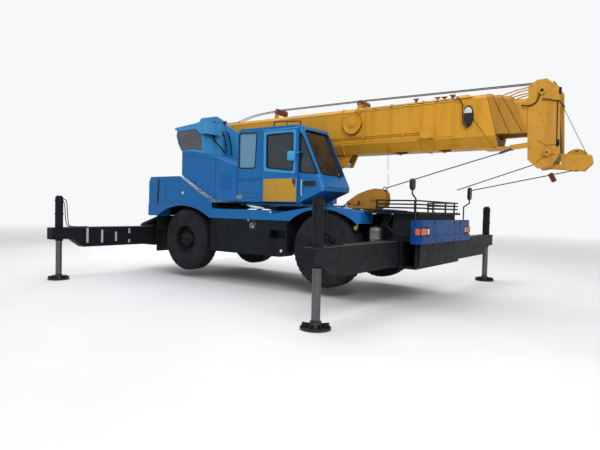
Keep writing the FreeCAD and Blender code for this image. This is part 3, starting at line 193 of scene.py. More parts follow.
def weathered_paint(name, colour, fade=0.25, streaks=0.45, dust=0.5, grip=0.34, low_dirt=0.0, shine=0.22):
    """Old enamel: faded patches, rain streaks, dust on what faces up and dirt near the ground."""
    f = Finish(name)
    pale = tuple(c * 0.82 + 0.18 * p for c, p in zip(colour, (0.2, 0.36, 0.44)))
    deep = tuple(c * 0.72 for c in colour)
    patches = f.ramp(f.noise(1.3, 5.0), 0.35, 0.72)
    base = f.tint(patches, fade * 2, colour, pale)
    shade = f.ramp(f.noise(0.7, 3.0), 0.4, 0.7)
    base = f.tint(shade, 0.35, base, deep)
    rain = f.ramp(f.noise(7.0, 6.0, (1.0, 1.0, 0.09)), 0.5, 0.78)
    base = f.tint(rain, streaks, base, tuple(c * 0.35 + g * 0.65 for c, g in zip(colour, GRIME)))
    specks = f.ramp(f.noise(95.0, 2.0), 0.66, 0.72)
    base = f.tint(specks, 0.14, base, GRIME)
    up = f.ramp(f.axis(f.facing, "Z"), 0.55, 0.98)
    dusty = f.maths("MULTIPLY", up, f.ramp(f.noise(2.6, 6.0), 0.3, 0.68))
    dusty = f.maths("MULTIPLY", dusty, dust)
    if low_dirt:
        near = f.ramp(f.axis(f.place, "Z"), 1.5, 0.4)
        mud = f.maths("MULTIPLY", near, f.ramp(f.noise(5.0, 8.0), 0.35, 0.7))
        dusty = f.maths("MAXIMUM", dusty, f.maths("MULTIPLY", mud, low_dirt))
    base = f.blend(dusty, base, DUST)
    f.colour(base)
    gloss = f.ramp(f.noise(9.0, 5.0), 0.3, 0.8, grip - 0.06, grip + 0.16)
    f.roughness(f.maths("ADD", gloss, f.maths("MULTIPLY", dusty, 0.35)))
    ripple = f.maths("ADD", f.noise(2.2, 2.0), f.maths("MULTIPLY", f.noise(140.0, 2.0), 0.04))
    f.bump(ripple, 0.12, 0.012)
    f.set(Specular_IOR_Level=shine)
    return f


def chipped_paint(name, colour, under, amount, **kw):
    """Weathered paint that has flaked off in places down to what lies under it."""
    f = weathered_paint(name, colour, **kw)
    base = f.laid("Base Color")
    rough = f.laid("Roughness")
    flakes = f.noise(11.0, 9.0, rough=0.68)
    mask = f.ramp(flakes, 0.68 - amount * 0.12, 0.71 - amount * 0.12)
    f.colour(f.tint(mask, 0.85, base, under))
    f.roughness(f.maths("MAXIMUM", rough, f.maths("MULTIPLY", mask, 0.75)))
    return f


def two_tone(f, source, start, end, other):
    """Paints what lies past a line across the part, or faces one way, in another colour."""
    base = f.laid("Base Color")
    past = f.ramp(source, start, end)
    worn = f.tint(f.ramp(f.noise(8.0, 6.0), 0.42, 0.75), 0.2, other, DUST)
    f.colour(f.blend(past, base, worn))
    return f


def hood_blue_shaded_front(name):
    f = weathered_paint(name, paint().carrier_blue, 0.12, 0.35, 0.12, 0.42)
    # Faces that look forward are painted near black: painted shade, flecked with dust.
    return two_tone(f, f.axis(f.facing, "X"), 0.84, 0.9, linear(15, 18, 26))


def fender_blue(name):
    f = weathered_paint(name, paint().carrier_blue, 0.1, 0.35, 0.2, 0.36)
    return two_tone(f, f.axis(f.place, "Z"), 1.337, 1.333, linear(15, 16, 20))


def boom_orange(name):
    return chipped_paint(name, paint().boom_orange, linear(112, 84, 44), 0.0, fade=0.06, streaks=0.45, dust=0.3,
                         grip=0.38)


def base_orange(name):
    f = boom_orange(name)
    return two_tone(f, f.axis(f.place, "Z"), 3.606, 3.61, linear(98, 50, 34))


def frame_black(name, colour, dust=0.2, grip=0.42, low_dirt=0.14):
    """Satin chassis paint with a film of road dust on what faces up."""
    return weathered_paint(name, colour, 0.05, 0.2, dust, grip, low_dirt, 0.1)


def jack_steel(name):
    """A polished rod that is painted black round its foot."""
    f = polished_steel(name, (0.125, 0.125, 0.135), (0.07, 0.066, 0.06))
    base = f.laid("Base Color")
    rough = f.laid("Roughness")
    low = f.ramp(f.axis(f.place, "Z"), 0.128, 0.124)
    film = f.ramp(f.noise(9.0, 6.0), 0.45, 0.75)
    dark = f.tint(film, 0.3, linear(18, 19, 23), linear(70, 66, 60))
    f.colour(f.blend(low, base, dark))
    f.roughness(f.maths("MAXIMUM", rough, f.maths("MULTIPLY", low, 0.5)))
    metal = f.maths("SUBTRACT", 1.0, low)
    f.tree.links.new(metal, f.shader.inputs["Metallic"])
    return f


def rubber(name, colour):
    f = Finish(name)
    wear = f.ramp(f.noise(6.0, 7.0), 0.38, 0.74)
    base = f.tint(wear, 0.2, colour, linear(84, 80, 74))
    f.colour(base)
    f.roughness(f.ramp(f.noise(14.0, 4.0), 0.3, 0.7, 0.62, 0.86))
    f.bump(f.noise(240.0, 3.0), 0.25, 0.002)
    f.set(Specular_IOR_Level=0.14)
    return f


def polished_steel(name, bright, oily):
    f = Finish(name)
    film = f.ramp(f.noise(16.0, 6.0), 0.42, 0.75)
    f.colour(f.tint(film, 0.6, bright, oily))
    f.roughness(f.ramp(f.noise(30.0, 4.0), 0.3, 0.75, 0.16, 0.42))
    f.bump(f.noise(500.0, 2.0, (1.0, 1.0, 0.05)), 0.08, 0.0006)
    f.set(Metallic=1.0)
    return f


def bare_metal(name, colour, rust=0.4, rough=0.5):
    f = Finish(name)
    spots = f.ramp(f.noise(13.0, 9.0, rough=0.65), 0.5, 0.66)
    f.colour(f.tint(spots, rust, colour, linear(96, 58, 34)))
    f.roughness(f.ramp(f.noise(25.0, 5.0), 0.3, 0.7, rough - 0.12, rough + 0.2))
    f.bump(f.noise(160.0, 3.0), 0.2, 0.0015)
    f.set(Metallic=0.75)
    return f


def glass(name, tint, clear=0.85):
    f = Finish(name)
    film = f.ramp(f.noise(3.0, 6.0), 0.35, 0.75, 0.03, 0.12)
    f.roughness(film)
    smear = f.ramp(f.noise(5.0, 5.0, (1.0, 1.0, 0.25)), 0.4, 0.8)
    f.colour(f.tint(smear, 0.25, tint, tuple(c * 0.8 for c in tint)))
    f.set(Transmission_Weight=clear, IOR=1.45)
    return f


def smoked_sheet(name):
    """Dark see-through sheet behind a fine mesh."""
    f = Finish(name)
    weave = f.wave(60.0, "Z")
    stains = f.ramp(f.noise(2.4, 6.0), 0.35, 0.7)
    base = f.blend(stains, linear(58, 62, 74), linear(92, 92, 98))
    f.colour(f.tint(weave, 0.25, base, linear(40, 42, 50)))
    f.roughness(f.ramp(f.noise(7.0, 4.0), 0.3, 0.7, 0.3, 0.5))
    f.bump(weave, 0.25, 0.002)
    return f


def plastic(name, colour, rough=0.45):
    f = Finish(name)
    dusty = f.ramp(f.noise(5.0, 6.0), 0.42, 0.75)
    f.colour(f.tint(dusty, 0.25, colour, tuple(c * 0.6 + 0.08 for c in colour)))
    f.roughness(f.ramp(f.noise(18.0, 4.0), 0.3, 0.7, rough - 0.08, rough + 0.12))
    f.bump(f.noise(350.0, 2.0), 0.15, 0.0008)
    f.set(Specular_IOR_Level=0.25)
    return f


def lens(name, colour):
    f = Finish(name)
    ribs = f.wave(28.0, "Y")
    f.colour(f.tint(ribs, 0.4, colour, tuple(c * 0.55 for c in colour)))
    f.roughness(f.ramp(f.noise(12.0, 3.0), 0.3, 0.7, 0.12, 0.3))
    f.bump(ribs, 0.3, 0.002)
    f.set(Coat_Weight=0.5, Coat_Roughness=0.08)
    return f


def cloth(name, colour):
    f = Finish(name)
    warp = f.wave(180.0, "X", 0.4)
    weft = f.wave(180.0, "Z", 0.4)
    weave = f.maths("MULTIPLY", warp, weft)
    worn = f.ramp(f.noise(4.0, 5.0), 0.4, 0.7)
    base = f.tint(worn, 0.35, colour, tuple(c * 0.5 + 0.07 for c in colour))
    f.colour(f.tint(weave, 0.5, base, tuple(c * 0.4 for c in colour)))
    f.roughness(f.ramp(f.noise(40.0, 3.0), 0.3, 0.7, 0.8, 0.95))
    f.bump(weave, 0.4, 0.0015)
    f.set(Sheen_Weight=0.3)
    return f


def wire_rope(name):
    f = Finish(name)
    lay = f.wave(45.0, "DIAGONAL")
    f.colour(f.blend(lay, linear(38, 36, 34), linear(92, 88, 84)))
    f.roughness(f.ramp(f.noise(20.0, 3.0), 0.3, 0.7, 0.4, 0.6))
    f.bump(lay, 0.7, 0.003)
    f.set(Metallic=0.6)
    return f


class CranePaint(bpy.types.PropertyGroup):
    """Colours of the crane's finishes."""

    carrier_blue: FloatVectorProperty(
        name="Carrier blue", description="Paint of the hood, cab and upper body", subtype="COLOR",
        default=linear(8, 100, 166), min=0.0, max=1.0)
    boom_orange: FloatVectorProperty(
        name="Boom orange", description="Paint of the boom and the hook block", subtype="COLOR",
        default=linear(208, 149, 38), min=0.0, max=1.0)
    frame_black: FloatVectorProperty(
        name="Frame black", description="Paint of the chassis and the outriggers", subtype="COLOR",
        default=linear(20, 21, 26), min=0.0, max=1.0)
    glass_tint: FloatVectorProperty(
        name="Glass tint", description="Tint of the cab windows", subtype="COLOR",
        default=linear(84, 102, 118), min=0.0, max=1.0)


class CraneSizes(bpy.types.PropertyGroup):
    """Sizes of the small parts that a user may change."""

    edge_radius: FloatProperty(
        name="Edge radius", description="Rounding of folded sheet and plate edges", default=0.006,
        min=0.0, max=0.03, unit="LENGTH")
    lug_count: IntProperty(
        name="Tread blocks", description="Blocks round each shoulder of a tyre", default=38, min=12, max=60)
    tread_depth: FloatProperty(
        name="Tread depth", description="Depth of the grooves in a tyre", default=0.015,
        min=0.005, max=0.05, unit="LENGTH")
    nut_count: IntProperty(
        name="Wheel nuts", description="Nuts on one wheel", default=10, min=4, max=16)
    rope_radius: FloatProperty(
        name="Rope radius", description="Radius of the hoist rope", default=0.009,
        min=0.004, max=0.02, unit="LENGTH")


class CraneStage(bpy.types.PropertyGroup):
    """The camera and the lights."""

    lens: FloatProperty(name="Lens", description="Focal length on a 36 mm sensor", default=30.0005,
                        min=10.0, max=200.0, unit="CAMERA")
    yaw: FloatProperty(name="Yaw", description="Heading of the view, from forward to the left",
                       default=2.20243258, unit="ROTATION")
    pitch: FloatProperty(name="Pitch", description="Tilt of the view above level", default=-0.0307244522,
                         unit="ROTATION")
    roll: FloatProperty(name="Roll", description="Turn of the picture about the view", default=0.0236917446,
                        unit="ROTATION")
    sky: FloatProperty(name="Sky strength", description="Strength of the even light", default=0.62,
                       min=0.0, max=2.0)


def paint():
    return bpy.context.scene.crane_paint


def sizes():
    return bpy.context.scene.crane_sizes


MADE = {}


def material(name):
    """The finish of that name, made the first time it is asked for."""
    if name not in MADE:
        MADE[name] = FINISHES[name](name).material
    return MADE[name]


FINISHES = {
    "carrier_blue": lambda name: weathered_paint(name, paint().carrier_blue, 0.1, 0.3, 0.15, 0.36),
    "hood_blue_shaded_front": hood_blue_shaded_front,
    "fender_blue": fender_blue,
    # A darker copy of the carrier blue for the bumper: painted shade, as it faces away from the light.
    "bumper_shaded_blue": lambda name: weathered_paint(name, linear(4, 62, 122), 0.06, 0.3, 0.05, 0.36, shine=0.1),
    "upper_blue": lambda name: weathered_paint(name, paint().carrier_blue, 0.14, 0.22, 0.12, 0.34),
    # A lighter copy of the carrier blue: painted light on the winch house, swivel frame, cab mirror, door window frame
    # and rain box ribs.
    "winch_lit_blue": lambda name: weathered_paint(name, linear(60, 146, 202), 0.2, 0.3, 0.1, 0.4),
    "boom_orange": boom_orange,
    "base_orange": base_orange,
    "section_orange": lambda name: chipped_paint(name, linear(172, 120, 36), linear(82, 62, 40), 0.2,
                                                 fade=0.08, streaks=0.5, dust=0.3, grip=0.4),
    "head_orange": lambda name: chipped_paint(name, linear(196, 140, 40), linear(82, 62, 40), 0.45,
                                              fade=0.1, streaks=0.55, dust=0.3, grip=0.42),
    "block_orange": lambda name: chipped_paint(name, linear(160, 110, 34), linear(86, 62, 38), 0.1,
                                               fade=0.1, streaks=0.6, dust=0.3, grip=0.45),
    "door_orange": lambda name: weathered_paint(name, linear(184, 140, 42), 0.08, 0.3, 0.0, 0.36),
    "seam_orange": lambda name: plastic(name, linear(112, 76, 30), 0.6),
    "frame_black": lambda name: frame_black(name, paint().frame_black),
    "beam_black": lambda name: frame_black(name, linear(24, 24, 28), 0.3, 0.5, 0.05),
    "skirt_black": lambda name: frame_black(name, linear(15, 17, 24), 0.3, 0.34, 0.06),
    "rim_black": lambda name: frame_black(name, linear(18, 19, 24), 0.15, 0.4, 0.1),
    "hub_steel": lambda name: bare_metal(name, (0.06, 0.06, 0.065), 0.3, 0.5),
    "worn_steel": lambda name: bare_metal(name, (0.15, 0.145, 0.14), 0.5, 0.45),
    "deck_grey": lambda name: frame_black(name, linear(30, 31, 35), 0.12, 0.55, 0.0),
    "roller_red": lambda name: bare_metal(name, linear(104, 52, 36), 0.5, 0.6),
    "white_paint": lambda name: plastic(name, linear(214, 218, 220), 0.4),
    "stripe_white": lambda name: weathered_paint(name, linear(176, 178, 182), 0.0, 0.25, 0.0, 0.5),
    "edge_dust": lambda name: plastic(name, linear(88, 82, 74), 0.8),
    "seam_dark": lambda name: plastic(name, linear(14, 18, 26), 0.6),
    "tyre_rubber": lambda name: rubber(name, linear(26, 27, 32)),
    "seal_rubber": lambda name: rubber(name, linear(14, 14, 16)),
    "hose_rubber": lambda name: rubber(name, linear(20, 20, 22)),
    "chrome_rod": lambda name: polished_steel(name, (0.34, 0.34, 0.36), (0.16, 0.15, 0.14)),
    "jack_steel": jack_steel,
    "mirror_glass": lambda name: polished_steel(name, (0.62, 0.62, 0.64), (0.4, 0.4, 0.4)),
    "zinc": lambda name: bare_metal(name, (0.26, 0.27, 0.29), 0.3),
    "engine_metal": lambda name: bare_metal(name, linear(60, 60, 62), 0.4, 0.6),
    "cab_glass": lambda name: glass(name, paint().glass_tint),
    # A warm brown tint in the windscreen: painted reflection of the orange boom.
    "screen_reflection_glass": lambda name: glass(name, linear(112, 104, 92)),
    # Pale sky blue and only half clear: painted reflection of the sky in the cab's rear right window.
    "sky_reflection_glass": lambda name: glass(name, linear(120, 176, 208), 0.45),
    "smoked_sheet": smoked_sheet,
    "dark_plastic": lambda name: plastic(name, linear(26, 27, 30)),
    "white_plastic": lambda name: plastic(name, linear(196, 198, 200), 0.35),
    "orange_lens": lambda name: lens(name, linear(196, 78, 22)),
    "yellow_lens": lambda name: lens(name, linear(116, 116, 44)),
    "clear_lens": lambda name: lens(name, linear(200, 202, 196)),
    "red_lens": lambda name: lens(name, linear(150, 34, 26)),
    "seat_cloth": lambda name: cloth(name, linear(52, 54, 60)),
    "steel_rope": wire_rope,
}


# Mesh helpers


def frame_of(axis):
    """A rotation that takes +Z to the given direction."""
    return Vector((0, 0, 1)).rotation_difference(Vector(axis).normalized()).to_matrix().to_4x4()


def rounded(outline, radius, steps=5):
    """The outline with its corners rounded, as points in its own plane."""
    out = []
    n = len(outline)
    for i in range(n):
        before, here, after = (Vector(outline[(i + k) % n]) for k in (-1, 0, 1))
        a, b = (before - here).normalized(), (after - here).normalized()
        start, end = here + a * radius, here + b * radius
        for k in range(steps + 1):
            t = k / steps
            out.append((1 - t) ** 2 * start + 2 * t * (1 - t) * here + t * t * end)
    return out


def rect(x0, x1, z0, z1):
    return [(x0, z0), (x1, z0), (x1, z1), (x0, z1)]


def sided(side, *profile):
    """A profile drawn outwards, as it lies on one side."""
    return [(side * out, radius) for out, radius in profile]


def around(count, start=0.0, turns=1.0, closed=False):
    """Cosine and sine of evenly spaced angles."""
    return [(math.cos(a), math.sin(a))
            for a in [start + 2 * math.pi * turns * i / count for i in range(count + closed)]]


def arc(radius_x, radius_z, turns=1.0, steps=32, lift=0.0):
    """Points on an ellipse as (x, z), the last one left out when it closes."""
    return [(radius_x * c, lift + radius_z * s) for c, s in around(steps, 0.0, turns, turns != 1.0)]


def smooth_run(points, steps=8):
    """Points along a smooth line through the given ones."""
    pts = [Vector(p) for p in points]
    ends = [pts[0] * 2 - pts[1]] + pts + [pts[-1] * 2 - pts[-2]]
    out = []
    for a, b, c, d in zip(ends[:-3], ends[1:-2], ends[2:-1], ends[3:]):
        for i in range(steps):
            t = i / steps
            out.append(0.5 * ((2 * b) + (c - a) * t + (2 * a - 5 * b + 4 * c - d) * t * t
                              + (3 * b - a - 3 * c + d) * t ** 3))
    out.append(pts[-1])
    return out


class Job:
    """What is being shaped for one body, until done makes it a piece and starts the next."""

    def __init__(self, body):
        self.body = body
        self.bm = bmesh.new()

    def ring(self, points):
        return [self.bm.verts.new(p) for p in points]

    def skin(self, rings, closed=False):
        """Faces between neighbouring rings."""
        for lower, upper in zip(rings, rings[1:] + rings[:1] if closed else rings[1:]):
            n = len(lower)
            for i in range(n):
                j = (i + 1) % n
                self.bm.faces.new((lower[i], lower[j], upper[j], upper[i]))

    def ends(self, first, last):
        self.bm.faces.new(first)
        self.bm.faces.new(list(reversed(last)))

    def box(self, centre, size, turn=None):
        matrix = Matrix.Translation(centre)
        if turn is not None:
            matrix = matrix @ turn
        bmesh.ops.create_cube(self.bm, size=1.0, matrix=matrix @ Matrix.Diagonal((*size, 1.0)))

    def rod(self, start, end, radius, segments=16, end_radius=None):
        start, end = Vector(start), Vector(end)
        run = end - start
        matrix = Matrix.Translation((start + end) / 2) @ frame_of(run)
        bmesh.ops.create_cone(self.bm, cap_ends=True, segments=segments, radius1=radius,
                              radius2=radius if end_radius is None else end_radius, depth=run.length, matrix=matrix)

    def lathe(self, profile, centre, segments=48, axis=(0, 1, 0)):
        """Profile pairs are (distance along the axis, radius)."""
        turn = frame_of(axis)
        self.skin([self.ring(Vector(centre) + turn @ Vector((radius * c, radius * s, along))
                             for c, s in around(segments)) for along, radius in profile])

    def slab(self, outline, low, high, plane="y"):
        """An outline drawn in (x, z) or (x, y), given a thickness across it."""
        rings = [self.ring(at(a, level, b) if plane == "y" else at(a, b, level) for a, b in outline)
                 for level in (low, high)]
        self.ends(*rings)
        self.skin(rings[::-1])

    def loft(self, outline, centre, layers, turn=Matrix.Identity(3)):
        """A closed body through scaled copies of an (x, z) outline, each at its own distance along y."""
        rings = [self.ring(Vector(centre) + turn @ Vector((a * scale, y, b * scale)) for a, b in outline)
                 for y, scale in layers]
        self.ends(rings[0], rings[-1])
        self.skin(rings[::-1])

    def border(self, outer, inner, low, high):
        """A flat frame between two (x, z) outlines of as many points, from one y to another."""
        self.skin([self.ring(at(a, y, b) for a, b in line)
                   for line, y in ((outer, low), (outer, high), (inner, high), (inner, low))], closed=True)

    def tube(self, points, radius, segments=10):
        rings = []
        side = None
        for i, p in enumerate(points):
            before, after = points[max(i - 1, 0)], points[min(i + 1, len(points) - 1)]
            along = (Vector(after) - Vector(before)).normalized()
            if side is None:
                side = along.orthogonal().normalized()
            side = (side - along * side.dot(along)).normalized()
            other = along.cross(side)
            rings.append(self.ring(Vector(p) + radius * (c * side + s * other) for c, s in around(segments)))
        self.skin(rings)
        self.ends(rings[-1], rings[0])

    def hose(self, points, steps, radius, segments=10):
        self.tube(smooth_run(points, steps), radius, segments)

    def loop(self, points, radius, segments=8):
        """A closed tube through the points."""
        pts = [Vector(p) for p in points]
        n = len(pts)
        middle_point = sum(pts, Vector()) / n
        rings = []
        for i, p in enumerate(pts):
            along = (pts[(i + 1) % n] - pts[i - 1]).normalized()
            out = p - middle_point
            out = (out - along * out.dot(along)).normalized()
            other = along.cross(out)
            rings.append(self.ring(p + radius * (c * out + s * other) for c, s in around(segments)))
        self.skin(rings, closed=True)

    def bolt(self, point, axis, size=0.012):
        """A hexagon head on its washer."""
        d = Vector(axis).normalized()
        p = Vector(point)
        self.rod(p - d * size * 0.2, p + d * size * 0.25, size * 1.35, 14)
        self.rod(p + d * size * 0.2, p + d * size * 0.95, size, 6, size * 0.93)

    def bolts(self, spots, y, side, size):
        """Bolts at (x, z) spots of a wall that faces sideways."""
        for x, z in spots:
            self.bolt(at(x, y, z), (0, side, 0), size)

    def done(self, name, finish, bevel=0.0, angle=40.0):
        """Makes the object, gives it its finish and puts it on its body."""
        bm, body, self.bm = self.bm, self.body, bmesh.new()
        bmesh.ops.recalc_face_normals(bm, faces=bm.faces)
        mesh = bpy.data.meshes.new(name)
        bm.to_mesh(mesh)
        bm.free()
        obj = bpy.data.objects.new(name, mesh)
        bpy.context.scene.collection.objects.link(obj)
        mesh.materials.append(material(finish))
        if bevel:
            soften(obj, bevel)
        mesh.shade_smooth()
        mesh.set_sharp_from_angle(angle=math.radians(angle))
        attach(obj, body)
        return obj


def soften(obj, width):
    mod = obj.modifiers.new("edge", "BEVEL")
    mod.width = width
    mod.segments = 2
    mod.limit_method = "ANGLE"
    mod.angle_limit = math.radians(32)


# CAD nodes and their finishes

NODE_FINISH = (
    # start of the node's name, finish, share of the edge radius
    ("tyre", "tyre_rubber", 0.0),
    ("rim", "rim_black", 0.5),
    ("jack", "jack_steel", 0.3),
    ("lift_rod", "chrome_rod", 0.3),
    # The rear right window's pale blue is a painted reflection of the sky.
    ("glass_rear_right", "sky_reflection_glass", 0.0),
    ("glass", "cab_glass", 0.0),
    ("door_glass", "cab_glass", 0.0),
    # The windscreen's warm tint is a painted reflection.
    ("windscreen", "screen_reflection_glass", 0.0),
    ("boom_tip", "head_orange", 0.6),
    ("boom_base", "base_orange", 0.8),
    ("boom_section", "section_orange", 0.8),
    ("hook_block", "block_orange", 0.8),
    ("lift_barrel", "boom_orange", 0.6),
    ("beam", "beam_black", 0.8),
    ("knuckle", "frame_black", 0.5),
    ("chassis_frame", "frame_black", 0.5),
    ("front_outrigger_box", "beam_black", 0.8),
    ("rear_outrigger_box", "beam_black", 0.8),
    ("side_skirt", "skirt_black", 1.0),
    ("front_deck", "deck_grey", 0.4),
    ("front_axle", "frame_black", 0.5),
    ("rear_axle", "frame_black", 0.5),
    ("deck_mirror", "dark_plastic", 0.5),
    ("cab_console", "dark_plastic", 0.5),
    ("front_lamp", "dark_plastic", 0.5),
    ("rear_lamps", "red_lens", 0.5),
    ("operator_seat", "seat_cloth", 0.5),
    # The hood's forward faces carry painted shade.
    ("engine_hood", "hood_blue_shaded_front", 1.0),
    ("engine", "engine_metal", 1.0),
    ("fender", "fender_blue", 1.0),
    # The winch house and the swivel frame take the lighter blue of painted light.
    ("winch_house", "winch_lit_blue", 1.0),
    ("swivel_frame", "winch_lit_blue", 1.0),
    # The bumper takes the darker blue of painted shade.
    ("front_bumper", "bumper_shaded_blue", 1.0),
    ("", "upper_blue", 1.0),
)


def finish_of(node):
    for start, finish, share in NODE_FINISH:
        if node.startswith(start):
            return finish, share
    raise RuntimeError("no finish for " + node)


class CRANE_OT_frame_finishes(bpy.types.Operator):
    """Give every CAD node its finish and soften its edges"""

    bl_idname = "crane.frame_finishes"
    bl_label = "Frame finishes"

    def execute(self, context):
        for name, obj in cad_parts.items():
            finish, share = finish_of(name)
            if not obj.material_slots:
                obj.data.materials.append(None)
            for slot in obj.material_slots:
                slot.material = material(finish)
            if share:
                soften(obj, sizes().edge_radius * share)
        return {"FINISHED"}


# Wheels


def smooth_step(low, high, value):
    t = min(max((value - low) / (high - low), 0.0), 1.0)
    return t * t * (3 - 2 * t)


def tyre_profile():
    """Half of a tyre's section as (distance from the middle plane, radius), from the bead to the tread's middle."""
    outer, bead = TYRE_RADIUS, RIM_RADIUS
    wall = [(0.18, bead), (0.187, bead + 0.02), (0.1895, bead + 0.045), (0.186, bead + 0.05), (0.188, bead + 0.075),
            (0.1915, outer - 0.24), (0.1925, outer - 0.19), (0.1915, outer - 0.14), (0.189, outer - 0.115),
            (0.1905, outer - 0.108), (0.189, outer - 0.1), (0.184, outer - 0.075), (0.174, outer - 0.045),
            (0.162, outer - 0.024), (0.15, outer - 0.011)]
    columns = 17
    tread = [(0.14 * (1 - i / columns), outer - 0.005 * smooth_step(0.06, 0.14, 0.14 * (1 - i / columns)))
             for i in range(columns)]
    return wall + tread


def groove_depth(turn, across, depth, lugs):
    """Depth of the tread pattern at a turn round the wheel and a distance from its middle plane."""
    share = (turn * lugs / (2 * math.pi)) % 1.0
    zig = 0.012 * (abs(2 * share - 1) - 0.5)
    cut = 0.0
    for line in (-0.088, -0.03, 0.03, 0.088):
        cut = max(cut, 1 - smooth_step(0.004, 0.009, abs(across - line - zig)))
    if abs(across) > 0.075:
        shift = (share + (0.25 if across > 0 else 0.0)) % 1.0
        slot = 1 - smooth_step(0.09, 0.16, abs(shift - 0.5))
        cut = max(cut, slot * smooth_step(0.075, 0.09, abs(across)))
    return depth * cut


class CRANE_OT_tyres(bpy.types.Operator):
    """Tyres with their beads, sidewall ribs and road tread"""

    bl_idname = "crane.tyres"
    bl_label = "Tyres"

    def execute(self, context):
        lugs = sizes().lug_count
        depth = sizes().tread_depth
        half = tyre_profile()
        section = [(-y, r) for y, r in half] + [(0.0, TYRE_RADIUS)] + [(y, r) for y, r in reversed(half)]
        segments = lugs * 8
        for corner in CORNERS:
            centre = Vector((middle("tyre_" + corner, 0), middle("tyre_" + corner, 1), AXLE_Z))
            job = Job("wheel_" + corner)
            rings = []
            for i in range(segments):
                turn = 2 * math.pi * i / segments
                ring = []
                for across, radius in section:
                    if radius > TYRE_RADIUS - 0.05:
                        fall = smooth_step(TYRE_RADIUS - 0.05, TYRE_RADIUS - 0.02, radius)
                        radius -= fall * groove_depth(turn, across, depth, lugs)
                    ring.append(centre + Vector((radius * math.cos(turn), across, radius * math.sin(turn))))
                rings.append(job.ring(ring))
            job.skin(rings, closed=True)
            obj = job.done("tyre_tread_" + corner, "tyre_rubber", angle=28.0)
            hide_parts("tyre_" + corner)
        return {"FINISHED"}


class CRANE_OT_wheel_hubs(bpy.types.Operator):
    """Nuts, hub cover screws, lock ring and valve on each wheel"""

    bl_idname = "crane.wheel_hubs"
    bl_label = "Wheel hubs"

    def execute(self, context):
        nuts = sizes().nut_count
        for corner in CORNERS:
            side = SIDES[corner.split("_")[1]]
            x = middle("rim_" + corner, 0)
            y = side * WHEEL_Y
            out = Vector((0, side, 0))
            job = Job("wheel_" + corner)
            for a, b in around(nuts, math.pi / nuts):
                spot = Vector((x + 0.228 * a, y + side * 0.066, AXLE_Z + 0.228 * b))
                job.rod(spot - out * 0.004, spot + out * 0.006, 0.023, 18)
                job.rod(spot, spot + out * 0.026, 0.0185, 6)
                job.rod(spot, spot + out * 0.042, 0.011, 12)
            for count, radius, proud, size in ((12, 0.082, 0.156, 0.007), (16, 0.124, 0.151, 0.0065)):
                for a, b in around(count):
                    job.bolt((x + radius * a, y + side * proud, AXLE_Z + radius * b), out, size)
            job.done("wheel_nuts_" + corner, "hub_steel")
            ring = [(side * (0.166 + 0.009 * b), 0.304 + 0.011 * a) for a, b in around(12, closed=True)]
            job.lathe(ring, (x, y, AXLE_Z), 72)
            dome = sided(side, (0.155, 0.052), (0.17, 0.05), (0.177, 0.042), (0.179, 0.02), (0.1795, 0.0005))
            job.lathe(dome, (x, y, AXLE_Z), 40)
            foot = Vector((x + 0.18, y + side * 0.07, AXLE_Z - 0.21))
            job.hose([foot, foot + Vector((0.01, side * 0.03, -0.01)),
                      foot + Vector((0.012, side * 0.075, -0.012))], 5, 0.006, 8)
            job.done("wheel_ring_" + corner, "rim_black", angle=30.0)
        return {"FINISHED"}


# Carrier


def dark_slats(job, outline, low, high, count, depth):
    """Slanted slats across an opening drawn in (x, z) between two heights on its lines."""
    (x0, z0), (x1, _), (x2, _), (x3, z3) = outline
    for i in range(count):
        t = (i + 0.5) / count
        left = x0 + (x3 - x0) * t
        right = x1 + (x2 - x1) * t
        z = z0 + (z3 - z0) * t
        turn = Matrix.Rotation(math.radians(-32), 4, "X")
        job.box(at((left + right) / 2, (low + high) / 2, z), (right - left, depth, 0.004), turn)


class CRANE_OT_hood_trim(bpy.types.Operator):
    """Slit and rear louvres, latches, hinges and knobs on the engine hood"""

    bl_idname = "crane.hood_trim"
    bl_label = "Hood trim"

    def execute(self, context):
        job = Job("carrier")
        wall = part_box("engine_hood")[1][1]
        floor = wall - 0.006
        slit = [(-0.919, 2.175), (-0.857, 2.175), (-0.902, 1.608), (-0.964, 1.608)]
        for name, s in SIDES.items():
            # A dark sheet behind the slats: painted shade inside the vent.
            job.slab(slit, s * (floor - 0.001), s * (floor + 0.0012))
            dark_slats(job, slit, s * (floor + 0.001), s * (floor + 0.005), 26, 0.007)
            job.done("hood_slit_" + name, "dark_plastic")
            knob = [(0.0, 0.034), (s * 0.008, 0.034), (s * 0.011, 0.031), (s * 0.011, 0.017), (s * 0.019, 0.014),
                    (s * 0.021, 0.0005)]
            job.lathe(knob, at(-0.073, s * (floor - 0.0005), 1.859), 32)
            job.done("hood_knob_" + name, "white_plastic")
            for x, z in ((-0.55, 1.7), (0.05, 1.71), (0.55, 1.715)):
                job.box(at(x, s * (floor + 0.004), z), (0.07, 0.008, 0.026))
                job.rod(at(x - 0.03, s * (floor + 0.009), z), at(x + 0.03, s * (floor + 0.009), z), 0.0055, 12)
            for x, z in ((-1.15, 1.72), (-1.15, 2.02)):
                job.box(at(x, s * (wall + 0.002), z), (0.05, 0.008, 0.032))
                job.rod(at(x, s * (wall + 0.004), z - 0.035), at(x, s * (wall + 0.004), z + 0.035), 0.006, 12)
            job.done("hood_latches_" + name, "carrier_blue", bevel=0.0015)
        for i in range(9):
            z = 1.713 + i * 0.052
            turn = Matrix.Rotation(math.radians(28), 4, "Y")
            job.box(at(-1.236, 0, z), (0.016, 1.4, 0.003), turn)
        # A dark sheet behind the rear louvres: painted shade inside the hood.
        job.slab(rect(-1.2305, -1.2285, 1.68, 2.16), -0.72, 0.72)
        job.done("hood_rear_louvres", "dark_plastic")
        return {"FINISHED"}


